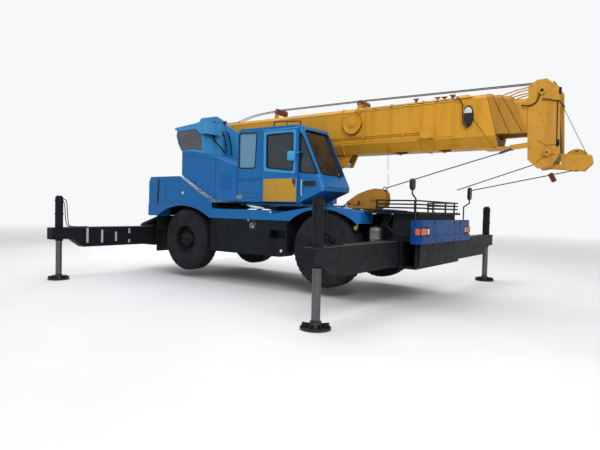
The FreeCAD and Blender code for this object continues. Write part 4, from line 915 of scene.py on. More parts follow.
class CRANE_OT_skirt_trim(bpy.types.Operator):
    """Filler caps, lamps, painted highlight marks by the filler rings, seams, bolts and locker handles on the side
    skirts
    """

    bl_idname = "crane.skirt_trim"
    bl_label = "Skirt trim"

    def execute(self, context):
        job = Job("carrier")
        wall = 1.288
        for name, s in SIDES.items():
            # Two small white marks by the filler ring are painted highlights on its metal.
            for x, z in ((1.9, 1.318), (2.03, 1.19)):
                job.box(at(x, s * (wall + 0.012), z), (0.045, 0.006, 0.02))
            job.done("ring_highlight_marks_" + name, "white_plastic", bevel=0.002)
            lamp = [(0.0, 0.03), (s * 0.006, 0.03), (s * 0.012, 0.026), (s * 0.015, 0.0005)]
            job.lathe(lamp, at(2.732, s * wall, 0.766), 24)
            job.lathe([(a, r * 0.6) for a, r in lamp], at(2.466, s * 1.2995, 1.495), 24)
            job.done("marker_lamps_" + name, "clear_lens")
            ring = [(s * (wall + 0.002 + 0.008 * b), 0.104 + 0.009 * a) for a, b in around(12, closed=True)]
            job.lathe(ring, at(1.986, 0, 1.22), 56)
            cap = sided(s, (wall, 0.07), (wall + 0.006, 0.068), (wall + 0.008, 0.06), (wall + 0.008, 0.0005))
            job.lathe(cap, at(1.986, 0, 1.22), 40)
            job.done("filler_ring_" + name, "worn_steel", angle=30.0)
            for x in (1.14, 1.46, 2.36):
                job.box(at(x, s * (wall + 0.0008), 0.99), (0.007, 0.003, 0.66))
            job.box(at(1.62, s * (wall + 0.0008), 1.335), (1.56, 0.003, 0.009))
            job.done("skirt_seams_" + name, "seam_dark")
            for x in (0.88, 1.1, 1.18, 1.42, 1.5, 2.32, 2.4, 2.66):
                for z in (0.7, 1.3):
                    if x < 2.6 or z > 1.0:
                        job.bolt(at(x, s * wall, z), (0, s, 0), 0.009)
            job.done("skirt_bolts_" + name, "rim_black")
            handle = [at(1.3, s * 1.28, 1.02), at(1.3, s * 1.298, 1.04), at(1.3, s * 1.299, 1.1),
                      at(1.3, s * 1.298, 1.16), at(1.3, s * 1.28, 1.18)]
            job.hose(handle, 5, 0.008, 10)
            job.done("locker_handle_" + name, "dark_plastic")
        job.slab([(1.8, 1.622), (2.06, 1.606), (2.27, 1.572), (2.28, 1.556), (2.06, 1.556), (1.9, 1.592)], -1.262,
                 -1.258)
        for x in (1.92, 2.06, 2.2):
            job.rod(at(x, -1.256, 1.525), at(x, -1.256, 1.59), 0.006, 8)
        job.done("band_white_edge", "white_paint")
        return {"FINISHED"}


class CRANE_OT_band_trim(bpy.types.Operator):
    """Rolled edges and rubber lips of the fenders"""

    bl_idname = "crane.band_trim"
    bl_label = "Fender trim"

    def execute(self, context):
        job = Job("carrier")
        for name, s in SIDES.items():
            for centre_x, half, crest in ((-0.07, 0.86, 1.585), (3.63, 0.71, 1.575)):
                sag = crest - 1.34
                radius = (half * half + sag * sag) / (2 * sag)
                reach = math.asin(half / radius)
                pts = []
                for i in range(37):
                    a = -reach + 2 * reach * i / 36
                    pts.append(at(centre_x + radius * math.sin(a), s * 1.293, crest - radius + radius * math.cos(a)))
                job.tube(pts, 0.0065, 8)
            job.done("fender_lip_" + name, "seal_rubber")
            job.bolts([(x, 1.375) for x in (1.0, 1.35, 1.7, 2.05, 2.4)], s * 1.3, s, 0.007)
            job.done("band_bolts_" + name, "zinc")
        return {"FINISHED"}


class CRANE_OT_outriggers(bpy.types.Operator):
    """Stripes, bolts, jack collars, hoses and float ribs on the outriggers"""

    bl_idname = "crane.outriggers"
    bl_label = "Outriggers"

    def execute(self, context):
        for corner in CORNERS:
            end, side_name = corner.split("_")
            s = SIDES[side_name]
            x = middle("jack_" + corner, 0)
            low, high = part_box("beam_" + corner)
            body = "outrigger_" + corner
            inner_face, turn = (low[0], -1) if end == "front" else (high[0], 1)
            job = Job(body)
            for y, z0, z1 in ((2.73, 0.74, 1.05), (2.385, 0.73, 1.01), (2.044, 0.75, 0.96), (1.7, 0.92, 1.03),
                              (1.7, 0.71, 0.78)):
                job.box((inner_face + turn * 0.0008, s * y, (z0 + z1) / 2), (0.0024, 0.048, z1 - z0))
            job.done("beam_stripes_" + corner, "stripe_white")
            for y in (3.13, 3.46):
                for z in (0.87, 1.03):
                    for x_face, d in ((low[0], -1), (high[0], 1)):
                        job.bolt((x_face, s * y, z), (d, 0, 0), 0.013)
            for z in (0.9, 0.98):
                for dx in (-0.055, 0.055):
                    job.bolt((x + dx, low[1] if s < 0 else high[1], z), (0, s, 0), 0.0095)
            job.done("beam_bolts_" + corner, "rim_black")
            for x_face in (low[0], high[0]):
                job.tube([(x_face, s * 1.15, 1.071), (x_face, s * 3.2, 1.071)], 0.0035, 8)
            job.done("beam_edge_" + corner, "edge_dust")
            for z in (1.62, 1.35):
                collar = [(-0.014, 0.0765), (-0.014, 0.083), (-0.011, 0.086), (0.011, 0.086), (0.014, 0.083),
                          (0.014, 0.0765)]
                job.lathe(collar, (x, s * JACK_Y, z), 40, (0, 0, 1))
            for a, b in around(6):
                job.bolt((x + 0.04 * a, s * JACK_Y + 0.04 * b, 1.722), (0, 0, 1), 0.007)
            job.done("jack_collars_" + corner, "frame_black", angle=30.0)
            run = [(x - 0.03, s * 3.22, 1.6), (x - 0.03, s * 3.17, 1.55), (x - 0.03, s * 3.15, 1.3),
                   (x - 0.02, s * 3.12, 1.12), (x, s * 3.02, 1.082), (x, s * 2.7, 1.082)]
            job.hose(run, 8, 0.009, 10)
            run = [(x + 0.03, s * 3.222, 1.66), (x + 0.03, s * 3.16, 1.6), (x + 0.03, s * 3.135, 1.32),
                   (x + 0.025, s * 3.1, 1.12), (x + 0.03, s * 2.98, 1.084), (x + 0.03, s * 2.7, 1.082)]
            job.hose(run, 8, 0.009, 10)
            job.done("jack_hoses_" + corner, "hose_rubber")
            job = Job("float_" + corner)
            for i in range(8):
                t = 2 * math.pi * i / 8 + 0.2
                spot = Vector((x + 0.14 * math.cos(t), s * JACK_Y + 0.14 * math.sin(t), 0.052))
                turn = Matrix.Rotation(t, 4, "Z")
                job.box(spot, (0.11, 0.012, 0.045), turn)
            rim = [(0.029, 0.19), (0.036, 0.192), (0.038, 0.198), (0.034, 0.204), (0.028, 0.2045)]
            job.lathe(rim, (x, s * JACK_Y, 0), 56, (0, 0, 1))
            job.done("float_ribs_" + corner, "frame_black", bevel=0.002)
        job = Job("carrier")
        for node in ("front_outrigger_box", "rear_outrigger_box"):
            low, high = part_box(node)
            for s in (-1, 1):
                for x_middle in (low[0] + 0.135, high[0] - 0.135):
                    for dx in (-0.115, 0.115):
                        job.bolt((x_middle + dx, s * 1.0305, 1.094), (0, s, 0), 0.009)
        job.done("box_bolts", "rim_black")
        return {"FINISHED"}


class CRANE_OT_carrier_front(bpy.types.Operator):
    """Lenses, bolts and seams at the bumper, the deck mirrors' glass and the rear lamps' ribs"""

    bl_idname = "crane.carrier_front"
    bl_label = "Carrier front"

    def execute(self, context):
        job = Job("carrier")
        lamp_z, seam_x = 1.245, 5.4605
        for name, s in SIDES.items():
            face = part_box("front_lamp_" + name)[1][0]
            split = s * 0.975
            ya, yb = sorted((split + s * 0.013, s * 1.212))
            job.box((face + 0.002, (ya + yb) / 2, lamp_z), (0.004, yb - ya - 0.01, 0.1))
            for i in range(9):
                y = ya + (yb - ya) * (i + 0.5) / 9
                job.rod((face + 0.003, y, 1.198), (face + 0.003, y, 1.292), 0.003, 8)
            corner = [(5.444, 1.211), (5.451, 1.211), (5.451, 1.219), (5.397, 1.2735), (5.39, 1.268), (5.443, 1.216)]
            job.slab([(x, s * y) for x, y in corner], 1.195, 1.295, "z")
            job.done("turn_lens_" + name, "orange_lens", bevel=0.0015)
            ya, yb = sorted((s * 0.883, split - s * 0.013))
            job.box((face + 0.002, (ya + yb) / 2, lamp_z), (0.004, yb - ya - 0.008, 0.09))
            for i in range(3):
                y = ya + (yb - ya) * (i + 0.5) / 3
                job.rod((face + 0.003, y, 1.204), (face + 0.003, y, 1.286), 0.004, 8)
            job.done("head_lens_" + name, "clear_lens", bevel=0.0015)
            for z in (1.178, 1.312):
                ends = [at(seam_x, s * 0.868, z), at(seam_x, s * 1.13, z)]
                job.tube(ends if z < lamp_z else ends[::-1], 0.005, 8)
            job.done("lamp_frame_" + name, "seal_rubber")
            job.bolts(((5.38, 1.2), (5.38, 1.36)), s * 1.27, s, 0.008)
            for y in (0.3, 0.62):
                job.bolt(at(5.46, s * y, 1.385), (1, 0, 0), 0.01)
                job.bolt(at(5.475, s * y, 1.09), (1, 0, 0), 0.01)
            job.done("bumper_bolts_" + name, "rim_black")
            job.tube([at(seam_x, s * 0.655, 1.162), at(seam_x, s * 0.655, 1.428)], 0.0025, 6)
            job.done("bumper_seam_" + name, "seam_dark")
        for name, s in SIDES.items():
            x, z0, z1 = (5.295, 1.907, 2.091) if s < 0 else (5.435, 1.82, 2.065)
            r = 0.06
            tall = (z1 - z0) / 2 - 0.008 - r
            pane = [(a, b + math.copysign(tall, b) if abs(b) > 1e-6 else b + tall) for a, b in arc(r, r, steps=28)]
            job.loft(pane, at(x - 0.0245, s * 1.205, (z0 + z1) / 2), ((-0.002, 1.0), (0.002, 1.0)),
                     Matrix.Rotation(math.radians(90), 3, "Z"))
        job.done("deck_mirror_glass", "mirror_glass")
        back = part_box("rear_lamps")[0][0] + 0.001
        for s in (-1, 1):
            for i in range(6):
                y = s * (0.74 + 0.037 * i)
                job.rod((back, y, 0.995), (back, y, 1.1), 0.003, 8)
        job.done("rear_lamp_ribs", "red_lens")
        return {"FINISHED"}


class CRANE_OT_deck(bpy.types.Operator):
    """Tread bars, hoses and bolts on the front deck, with the air tank and bars beside it"""

    bl_idname = "crane.deck"
    bl_label = "Front deck"

    def execute(self, context):
        job = Job("carrier")
        rows, columns = 18, 34
        for i in range(columns):
            for k in range(rows):
                x = 4.5 + 0.78 * (i + 0.5) / columns
                y = -0.95 + 1.9 * (k + 0.5) / rows
                turn = Matrix.Rotation(math.radians(45 if (i + k) % 2 else -45), 4, "Z")
                job.box(at(x, y, 1.5606), (0.03, 0.007, 0.003), turn)
        job.done("deck_tread", "deck_grey")
        for y, lift in ((0.3, 0.03), (0.36, 0.02), (0.43, 0.035)):
            run = [at(3.15, y, 1.575), at(3.5, y + 0.05, 1.575 + lift), at(4.0, y - 0.03, 1.575),
                   at(4.45, y + 0.08, 1.573)]
            job.hose(run, 8, 0.012, 10)
        job.done("deck_hoses", "hose_rubber")
        for s in (-1, 1):
            for x, y in ((4.5, 1.14), (4.78, 1.14), (4.83, 0.96), (5.28, 0.96)):
                job.bolt(at(x, s * y, 1.56), (0, 0, 1), 0.01)
        job.done("deck_bolts", "rim_black")
        tank = [(-0.122, 0.0005), (-0.122, 0.085), (-0.112, 0.106), (-0.075, 0.112), (-0.07, 0.115), (-0.06, 0.112),
                (0.06, 0.112), (0.07, 0.115), (0.075, 0.112), (0.112, 0.106), (0.122, 0.085), (0.122, 0.03),
                (0.132, 0.028), (0.132, 0.0005)]
        job.lathe(tank, at(4.625, -1.115, 1.165), 44, (0, 0, 1))
        job.box(at(4.625, -1.02, 1.165), (0.06, 0.05, 0.16))
        job.done("air_tank", "worn_steel", angle=30.0)
        upper, lower = at(4.829, -1.18, 1.334), at(5.013, -1.18, 1.194)
        job.tube([upper, at(4.92, -1.185, 1.262), lower], 0.012, 10)
        job.tube([at(4.76, -1.16, 1.12), at(4.76, -1.16, 1.36)], 0.01, 10)
        job.tube([at(4.76, -1.16, 1.34), at(4.76, -1.0, 1.45), at(4.76, -0.95, 1.54)], 0.01, 10)
        job.tube([upper, at(4.829, -1.0, 1.45), at(4.829, -0.95, 1.54)], 0.01, 10)
        job.tube([lower, at(5.1, -1.12, 1.18), at(5.33, -1.1, 1.2)], 0.01, 10)
        job.done("side_bars", "frame_black")
        lamp = [(0.0, 0.04), (-0.008, 0.04), (-0.014, 0.034), (-0.016, 0.0005)]
        job.lathe(lamp, at(4.314, -1.262, 1.262), 28)
        job.box(at(4.34, -1.256, 1.31), (0.03, 0.008, 0.11))
        job.done("side_reflector", "yellow_lens")
        return {"FINISHED"}


class CRANE_OT_hook_block(bpy.types.Operator):
    """Sheaves, pins, bolts and lashing on the stowed hook block"""

    bl_idname = "crane.hook_block"
    bl_label = "Hook block"

    def execute(self, context):
        job = Job("carrier")
        x0, y0, z0 = BLOCK_FOOT
        for side in (-1, 1):
            face = y0 + side * BLOCK_HALF_WIDTH
            spots = ((0.62, 0.12), (0.66, 0.27), (0.42, 0.33), (0.3, 0.13))
            job.bolts([(x0 + x, z0 + z) for x, z in spots], face, side, 0.011)
        job.done("block_bolts", "block_orange")
        for side in (-1, 1):
            face = y0 + side * BLOCK_HALF_WIDTH
            pin = sided(side, (-0.002, 0.042), (0.006, 0.042), (0.008, 0.038), (0.008, 0.026), (0.014, 0.024),
                        (0.016, 0.0005))
            job.lathe(pin, at(x0 + 0.2, face, z0 + 0.135), 32)
        job.done("block_pins", "hub_steel", angle=30.0)
        for side in (-1, 1):
            face = y0 + side * BLOCK_HALF_WIDTH
            hub = sided(side, (-0.002, 0.075), (0.006, 0.075), (0.009, 0.071), (0.009, 0.05), (0.02, 0.046),
                        (0.024, 0.04), (0.024, 0.0005))
            job.lathe(hub, at(x0 + 0.5, face, z0 + 0.22), 40)
        job.done("block_hubs", "block_orange", angle=30.0)
        for y in (-0.05, 0.0, 0.05):
            groove = [(-0.016, 0.145), (-0.013, 0.158), (-0.008, 0.16), (-0.005, 0.15), (0.005, 0.15),
                      (0.008, 0.16), (0.013, 0.158), (0.016, 0.145)]
            job.lathe(groove, at(x0 + 0.5, y0 + y, z0 + 0.215), 56)
        job.done("block_sheaves", "worn_steel", angle=30.0)
        hook = [at(x0 + 0.04, y0 - 0.105, z0 + 0.13), at(x0 - 0.06, y0 - 0.11, z0 + 0.1),
                at(x0 - 0.15, y0 - 0.105, z0 + 0.03), at(x0 - 0.1, y0 - 0.09, z0 + 0.022)]
        job.hose(hook, 8, 0.013, 12)
        job.done("block_lashing", "steel_rope")
        return {"FINISHED"}


# Upper works


def screen_x(z, inset=0.0):
    """x of the windscreen's plane at a height."""
    return SCREEN_FOOT_X - inset - SCREEN_LEAN * (z - SCREEN_FOOT_Z)


def side_loop(job, outline, y, radius=0.01, corner=0.06):
    job.loop([at(x, y, z) for x, z in rounded(outline, corner)], radius)


class CRANE_OT_cab_trim(bpy.types.Operator):
    """Window seals, wiper, mirror, rails, seams and roof vent of the cab"""

    bl_idname = "crane.cab_trim"
    bl_label = "Cab trim"

    def execute(self, context):
        job = Job("upperworks")
        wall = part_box("glass_rear_right")[0][1] - 0.014
        side_loop(job, [(1.602, 2.352), (2.03, 2.346), (2.064, 3.03), (1.602, 3.048)], wall)
        side_loop(job, [(3.113, 2.238), (screen_x(2.205, 0.028), 2.205), (screen_x(2.925, 0.04), 2.925),
                        (3.113, 2.96)], wall)
        side_loop(job, [(1.7, 2.325), (screen_x(2.25, 0.072), 2.25), (screen_x(2.93, 0.06), 2.93), (1.7, 3.02)],
                  -0.37)
        screen = rect(-1.185, -0.43, 2.2, 3.025)
        job.loop([at(screen_x(z, -0.002), y, z) for y, z in rounded(screen, 0.07)], 0.011)
        back = rect(-1.17, -0.48, 2.33, 3.0)
        job.loop([at(1.569, y, z) for y, z in rounded(back, 0.07)], 0.01)
        job.done("window_seals", "seal_rubber")
        pivot = at(screen_x(2.17, -0.02), -0.62, 2.17)
        tip = at(screen_x(2.52, -0.025), -0.98, 2.52)
        job.tube([pivot, tip], 0.006, 8)
        blade_a = at(screen_x(2.28, -0.014), -1.06, 2.28)
        blade_b = at(screen_x(2.76, -0.014), -0.9, 2.76)
        job.tube([blade_a, blade_b], 0.007, 6)
        hub = [(0.0, 0.02), (0.016, 0.02), (0.022, 0.014), (0.023, 0.0005)]
        job.lathe(hub, at(screen_x(2.17, -0.002), -0.62, 2.17), 20, (1, 0, 0.45))
        job.done("wiper", "dark_plastic")
        face = -1.2808
        for x0, x1, z in ((1.615, 2.24, 2.105), (1.615, 2.24, 2.14), (1.745, 2.14, 1.855), (1.6, 2.235, 1.765)):
            job.box(at((x0 + x1) / 2, face, z), (x1 - x0, 0.0016, 0.007))
        job.box(at(3.3, face, 1.955), (0.4, 0.0016, 0.006))
        job.box(at(3.103, face, 2.55), (0.006, 0.0016, 1.0))
        job.done("cab_seams", "seam_dark")
        slot = [(x - 3.345, z - 2.029) for x, z in rounded(rect(3.212, 3.479, 1.985, 2.073), 0.03)]
        job.loft(slot, at(3.345, -1.28, 2.029), ((0.0, 1.0), (-0.0018, 1.0)))
        job.loop([at(3.345 + x, -1.282, 2.029 + z) for x, z in slot], 0.004)
        job.done("cab_slot", "dark_plastic")
        rail = [at(3.185, -1.282, 2.09), at(3.185, -1.312, 2.075), at(3.187, -1.316, 1.95), at(3.188, -1.312, 1.83),
                at(3.188, -1.282, 1.815)]
        job.hose(rail, 6, 0.008, 12)
        job.done("cab_grab_rail", "white_plastic")
        arm = [at(3.135, -1.278, 2.6), at(3.135, -1.345, 2.6), at(3.11, -1.385, 2.58), at(3.03, -1.405, 2.54)]
        job.hose(arm, 6, 0.008, 10)
        turn = Matrix.Rotation(math.radians(37), 3, "Z")
        spot = at(3.017, -1.412, 2.53)
        pane = rounded(rect(-0.076, 0.076, -0.088, 0.088), 0.04)
        job.loft(pane, spot, ((0.018, 0.96), (0.016, 0.99), (0.006, 1.0), (-0.006, 0.98), (-0.016, 0.88),
                              (-0.02, 0.72)), turn)
        job.done("cab_mirror", "winch_lit_blue", angle=50.0)
        job.loft(pane, spot, ((0.0165, 0.93), (0.0188, 0.92)), turn)
        job.done("cab_mirror_glass", "mirror_glass")
        job.loft(rounded(rect(-0.075, 0.075, -0.04, 0.04), 0.015),
                 at(1.625, -1.28, 1.778), ((0.0, 1.0), (-0.006, 0.98), (-0.008, 0.92)))
        knob = [(0.0, 0.024), (-0.01, 0.024), (-0.014, 0.02), (-0.016, 0.0005)]
        job.lathe(knob, at(1.64, -1.286, 1.778), 28)
        job.done("cab_latch", "zinc", angle=30.0)
        for x in (1.66, 1.95, 2.3, 2.66, 2.98):
            job.tube([at(x, -1.15, 3.1315), at(x, -0.5, 3.1315)], 0.004, 6)
        job.done("roof_ribs", "upper_blue")
        rail = [at(2.18, -0.9, 3.12), at(2.18, -0.9, 3.26), at(2.24, -0.9, 3.286), at(2.5, -0.9, 3.272),
                at(2.79, -0.9, 3.256), at(2.836, -0.9, 3.22), at(2.836, -0.9, 3.12)]
        job.hose(rail, 5, 0.012, 10)
        job.rod(at(2.5, -0.9, 3.12), at(2.5, -0.9, 3.27), 0.009, 10)
        job.done("roof_rail", "dark_plastic")
        cover = [(0.0, 0.055), (0.012, 0.055), (0.016, 0.045), (0.03, 0.043), (0.036, 0.036), (0.037, 0.0005)]
        job.lathe(cover, at(1.75, -0.62, 3.122), 30, (0, 0, 1))
        job.done("roof_vent", "dark_plastic", angle=30.0)
        return {"FINISHED"}


class CRANE_OT_cab_door_trim(bpy.types.Operator):
    """Blank orange panel, window seal and frame, handle and bolts on the sliding door"""

    bl_idname = "crane.cab_door_trim"
    bl_label = "Cab door trim"

    def execute(self, context):
        job = Job("door")
        face = -1.316
        panel = [(x - 2.68, z - 1.9125) for x, z in rounded(rect(2.284, 3.075, 1.7, 2.125), 0.025)]
        job.loft(panel, at(2.68, face, 1.9125), ((0.001, 1.0), (-0.0012, 1.0), (-0.0018, 0.998)))
        job.done("door_panel", "door_orange")
        side_loop(job, [(2.36, 2.342), (2.98, 2.274), (2.977, 2.961), (2.35, 2.963)], face, 0.009, 0.055)
        job.done("door_window_seal", "seal_rubber")
        job.border(rounded([(2.285, 2.275), (3.045, 2.208), (3.045, 3.022), (2.272, 3.026)], 0.05),
                   rounded([(2.338, 2.32), (2.995, 2.254), (2.992, 2.98), (2.328, 2.982)], 0.06), face, face - 0.006)
        job.box(at(2.67, face - 0.004, 3.052), (0.82, 0.008, 0.02))
        job.done("door_window_frame", "winch_lit_blue", bevel=0.0015)
        grip = [at(3.045, face - 0.001, 1.985), at(3.045, face - 0.02, 2.0), at(3.045, face - 0.0215, 2.04),
                at(3.045, face - 0.02, 2.08), at(3.045, face - 0.001, 2.095)]
        job.hose(grip, 6, 0.008, 12)
        job.box(at(3.02, face - 0.002, 2.075), (0.075, 0.004, 0.09))
        job.done("door_handle", "dark_plastic", bevel=0.0015)
        job.bolts(((2.27, 1.73), (2.27, 2.1), (2.27, 2.5), (2.27, 3.0), (3.07, 2.2), (3.07, 2.6), (3.07, 3.0)),
                  face - 0.004, -1, 0.006)
        job.done("door_bolts", "carrier_blue")
        return {"FINISHED"}


PAD_CELLS = 28
PAD_PINCH = 0.06


def crowned_pad(job, low, high, crown, channels):
    """A closed cushion between two corners, crowned, with sewn channels, its sides drawn in between the corners."""
    low, high = Vector(low), Vector(high)
    size = high - low
    top, bottom = [], []
    for i in range(PAD_CELLS + 1):
        for k in range(PAD_CELLS + 1):
            s, t = i / PAD_CELLS * 2 - 1, k / PAD_CELLS * 2 - 1
            edge = max(abs(s), abs(t))
            lift = max((1 - abs(s) ** 6) * (1 - abs(t) ** 6), 0.0) ** 0.28
            sag = 1.0
            for c in channels:
                sag = min(sag, 1 - 0.22 * math.exp(-((s - c) / 0.05) ** 2))
            seam = 1 - 0.1 * math.exp(-((edge - 0.86) / 0.03) ** 2)
            height = size.z * ((1 - crown) + crown * (1 - s * s) * (1 - t * t)) * lift * sag * seam
            x = low.x + size.x * (0.5 + 0.5 * s * (1 - PAD_PINCH * (1 - t * t) * s * s))
            y = low.y + size.y * (0.5 + 0.5 * t * (1 - PAD_PINCH * (1 - s * s) * t * t))
            top.append(job.bm.verts.new((x, y, low.z + height)))
            bottom.append(job.bm.verts.new((x, y, low.z + size.z * 0.12 * (1 - lift))))
    n = PAD_CELLS + 1
    for i in range(PAD_CELLS):
        for k in range(PAD_CELLS):
            a, b, c, d = i * n + k, (i + 1) * n + k, (i + 1) * n + k + 1, i * n + k + 1
            job.bm.faces.new((top[a], top[b], top[c], top[d]))
            job.bm.faces.new((bottom[d], bottom[c], bottom[b], bottom[a]))
    rim = [i * n for i in range(n)] + [PAD_CELLS * n + k for k in range(1, n)]
    rim += [i * n + PAD_CELLS for i in range(PAD_CELLS - 1, -1, -1)] + list(range(PAD_CELLS - 1, 0, -1))
    for a, b in zip(rim, rim[1:] + rim[:1]):
        job.bm.faces.new((top[a], bottom[a], bottom[b], top[b]))


class CRANE_OT_cab_inside(bpy.types.Operator):
    """The seat with its cushions and the levers inside the cab"""

    bl_idname = "crane.cab_inside"
    bl_label = "Cab inside"

    def execute(self, context):
        job = Job("upperworks")
        low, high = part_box("operator_seat")
        y = (low[1] + high[1]) / 2
        foot = low[2]
        back_x = 2.151 + REAR_AXLE_X
        job.box((back_x + 0.275, y, foot + 0.045), (0.35, 0.3, 0.09))
        for i in range(7):
            inset = 0.01 * (i % 2)
            job.box((back_x + 0.275, y, foot + 0.1 + i * 0.02), (0.33 - inset, 0.28 - inset, 0.02))
        job.box((back_x + 0.27, y, foot + 0.248), (0.48, 0.44, 0.024))
        for s in (-1, 1):
            job.hose([(back_x + 0.02, y + s * 0.2, foot + 0.26), (back_x - 0.01, y + s * 0.2, foot + 0.5),
                      (back_x - 0.085, y + s * 0.2, foot + 0.92)], 6, 0.012, 10)
        base = job.done("seat_base", "dark_plastic", bevel=0.004)
        crowned_pad(job, (back_x + 0.01, y - 0.235, foot + 0.262), (back_x + 0.525, y + 0.235, foot + 0.378), 0.35,
                    (-0.35, 0.3))
        cushion = job.done("seat_cushion", "seat_cloth", angle=60.0)
        crowned_pad(job, (-0.3, -0.225, 0.0), (0.3, 0.225, 0.115), 0.4, (-0.4, 0.1, 0.55))
        lean = math.atan2(0.12, 0.6)
        up, ahead = math.cos(lean), math.sin(lean)
        turn = Matrix(((-ahead, 0, up, 0), (0, 1, 0, 0), (up, 0, ahead, 0), (0, 0, 0, 1)))
        place = Matrix.Translation((back_x - 0.035, y, foot + 0.675)) @ turn
        bmesh.ops.transform(job.bm, matrix=place, verts=job.bm.verts)
        rest = job.done("seat_back", "seat_cloth", angle=60.0)
        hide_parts("operator_seat")
        for i, dy in enumerate((-0.17, -0.11, 0.11, 0.17)):
            start = at(2.97, y + dy, 2.12)
            job.hose([start, start + Vector((0.0, 0, 0.1)), start + Vector((-0.03, 0, 0.19))], 6, 0.006, 8)
            knob = [(-0.02, 0.0005), (-0.018, 0.012), (-0.006, 0.018), (0.008, 0.017), (0.018, 0.009), (0.02, 0.0005)]
            job.lathe(knob, start + Vector((-0.032, 0, 0.205)), 16, (0, 0, 1))
        job.done("cab_levers", "dark_plastic")
        return {"FINISHED"}


class CRANE_OT_tail(bpy.types.Operator):
    """Side panels, louvres, struts, lamp and hoses of the upper works, and the drums' ropes"""

    bl_idname = "crane.tail"
    bl_label = "Tail"

    def execute(self, context):
        job = Job("upperworks")
        panel = [(-0.33, 3.225), (0.25, 3.244), (0.446, 3.157), (0.496, 2.775), (0.2, 2.82), (-0.188, 2.805),
                 (-0.262, 2.972), (-0.326, 3.14)]
        for name, s in SIDES.items():
            face = s * 1.2418
            job.slab(panel, min(face, face + s * 0.002), max(face, face + s * 0.002))
            job.done("smoked_panel_" + name, "smoked_sheet")
            side_loop(job, [panel[0], panel[1], panel[2], panel[3], panel[4], panel[5], panel[7]], s * 1.2445, 0.006,
                      0.02)
            job.done("smoked_panel_edge_" + name, "seal_rubber")
            job.bolts(((-0.31, 3.262), (-0.05, 3.3), (0.25, 3.325), (0.53, 2.8), (0.49, 3.1), (-0.24, 2.87)),
                      s * BODY_Y, s, 0.008)
            job.bolts(((-0.1, 2.72), (0.25, 2.7), (0.6, 2.66), (1.05, 2.5), (1.47, 2.36), (1.47, 1.8),
                       (0.97, 1.76), (0.3, 2.08), (0.0, 2.28)), s * BODY_Y, s, 0.007)
            job.done("body_bolts_" + name, "rim_black")
            for line in (rect(0.905, 0.911, 1.72, 2.6),
                         [(0.0, 2.236), (0.9, 1.742), (0.9, 1.735), (0.0, 2.229)],
                         [(-0.14, 2.705), (0.905, 2.56), (0.905, 2.554), (-0.14, 2.699)]):
                job.slab(line, *sorted((s * 1.2498, s * 1.2512)))
            job.done("body_seams_" + name, "seam_dark")
        for i in range(7):
            z = 1.95 + i * 0.05
            turn = Matrix.Rotation(math.radians(35), 4, "X")
            job.box(at(1.22, -1.2535, z), (0.34, 0.014, 0.004), turn)
        job.done("body_louvres", "upper_blue")
        for name, s in SIDES.items():
            wall = 0.632
            job.hose([at(0.56, s * 0.99, 3.145), at(0.6, s * 0.99, 3.01), at(0.615, s * 0.9, 2.93),
                      at(0.63, s * 0.7, 2.775)], 6, 0.014, 10)
            job.tube([at(0.57, s * 1.035, 3.11), at(0.612, s * 0.97, 2.955)], 0.011, 10)
            for y, foot in ((0.665, 2.775), (0.5, 2.735)):
                job.hose([at(0.44, s * y, 3.285), at(0.52, s * y, 3.2), at(0.6, s * y, 3.02),
                          at(wall, s * y, foot)], 6, 0.013, 10)
            for y in (0.665, 0.5):
                for x, z in ((0.545, 3.16), (0.615, 2.95)):
                    job.box(at(x, s * y, z), (0.03, 0.05, 0.02))
            job.done("house_struts_" + name, "seal_rubber")
        for y in (-1.2, -1.09, -0.93):
            job.tube([at(0.3715, y, 3.378), at(0.628, y, 3.368)], 0.005, 6)
        for x in (0.4, 0.5, 0.61):
            job.tube([at(x, -1.2705, 3.15), at(x, -1.2705, 3.36)], 0.0045, 6)
        job.tube([at(0.375, -1.2705, 3.355), at(0.628, -1.2705, 3.355)], 0.0045, 6)
        job.done("rain_box_ribs", "winch_lit_blue")
        post = at(0.523, -0.62, 3.372)
        job.rod(post, post + Vector((0, 0, 0.05)), 0.012, 12)
        body = [(-0.035, 0.034), (-0.02, 0.042), (0.015, 0.044), (0.03, 0.04)]
        job.lathe(body, post + Vector((0, 0, 0.085)), 28, (1, 0, 0))
        job.done("work_lamp_body", "dark_plastic")
        glass_part = [(0.03, 0.04), (0.036, 0.037), (0.041, 0.025), (0.043, 0.0005)]
        job.lathe(glass_part, post + Vector((0, 0, 0.085)), 28, (1, 0, 0))
        job.done("work_lamp_lens", "red_lens")
        for y, low_z in ((-0.55, 2.86), (-0.6, 2.92), (0.55, 2.88)):
            hose = [at(0.36, y, low_z), at(0.1, y * 0.98, low_z + 0.1), at(-0.14, y, low_z + 0.32),
                    at(-0.1, y * 0.95, low_z + 0.52), at(0.14, y * 0.9, low_z + 0.6)]
            job.hose(hose, 8, 0.013, 10)
        job.done("tail_hoses", "hose_rubber")
        for x, z in ((0.06, 2.48), (0.48, 2.33)):
            for side in (-1, 1):
                for coils, radius in ((11, 0.158), (8, 0.172)):
                    steps = coils * 24
                    pts = []
                    for i in range(steps + 1):
                        a = 2 * math.pi * i / 24
                        y = side * (0.025 + 0.218 * i / steps)
                        pts.append(at(x + radius * math.cos(a), y, z + radius * math.sin(a)))
                    job.tube(pts, sizes().rope_radius, 6)
        job.done("drum_rope", "steel_rope")
        return {"FINISHED"}


# Boom


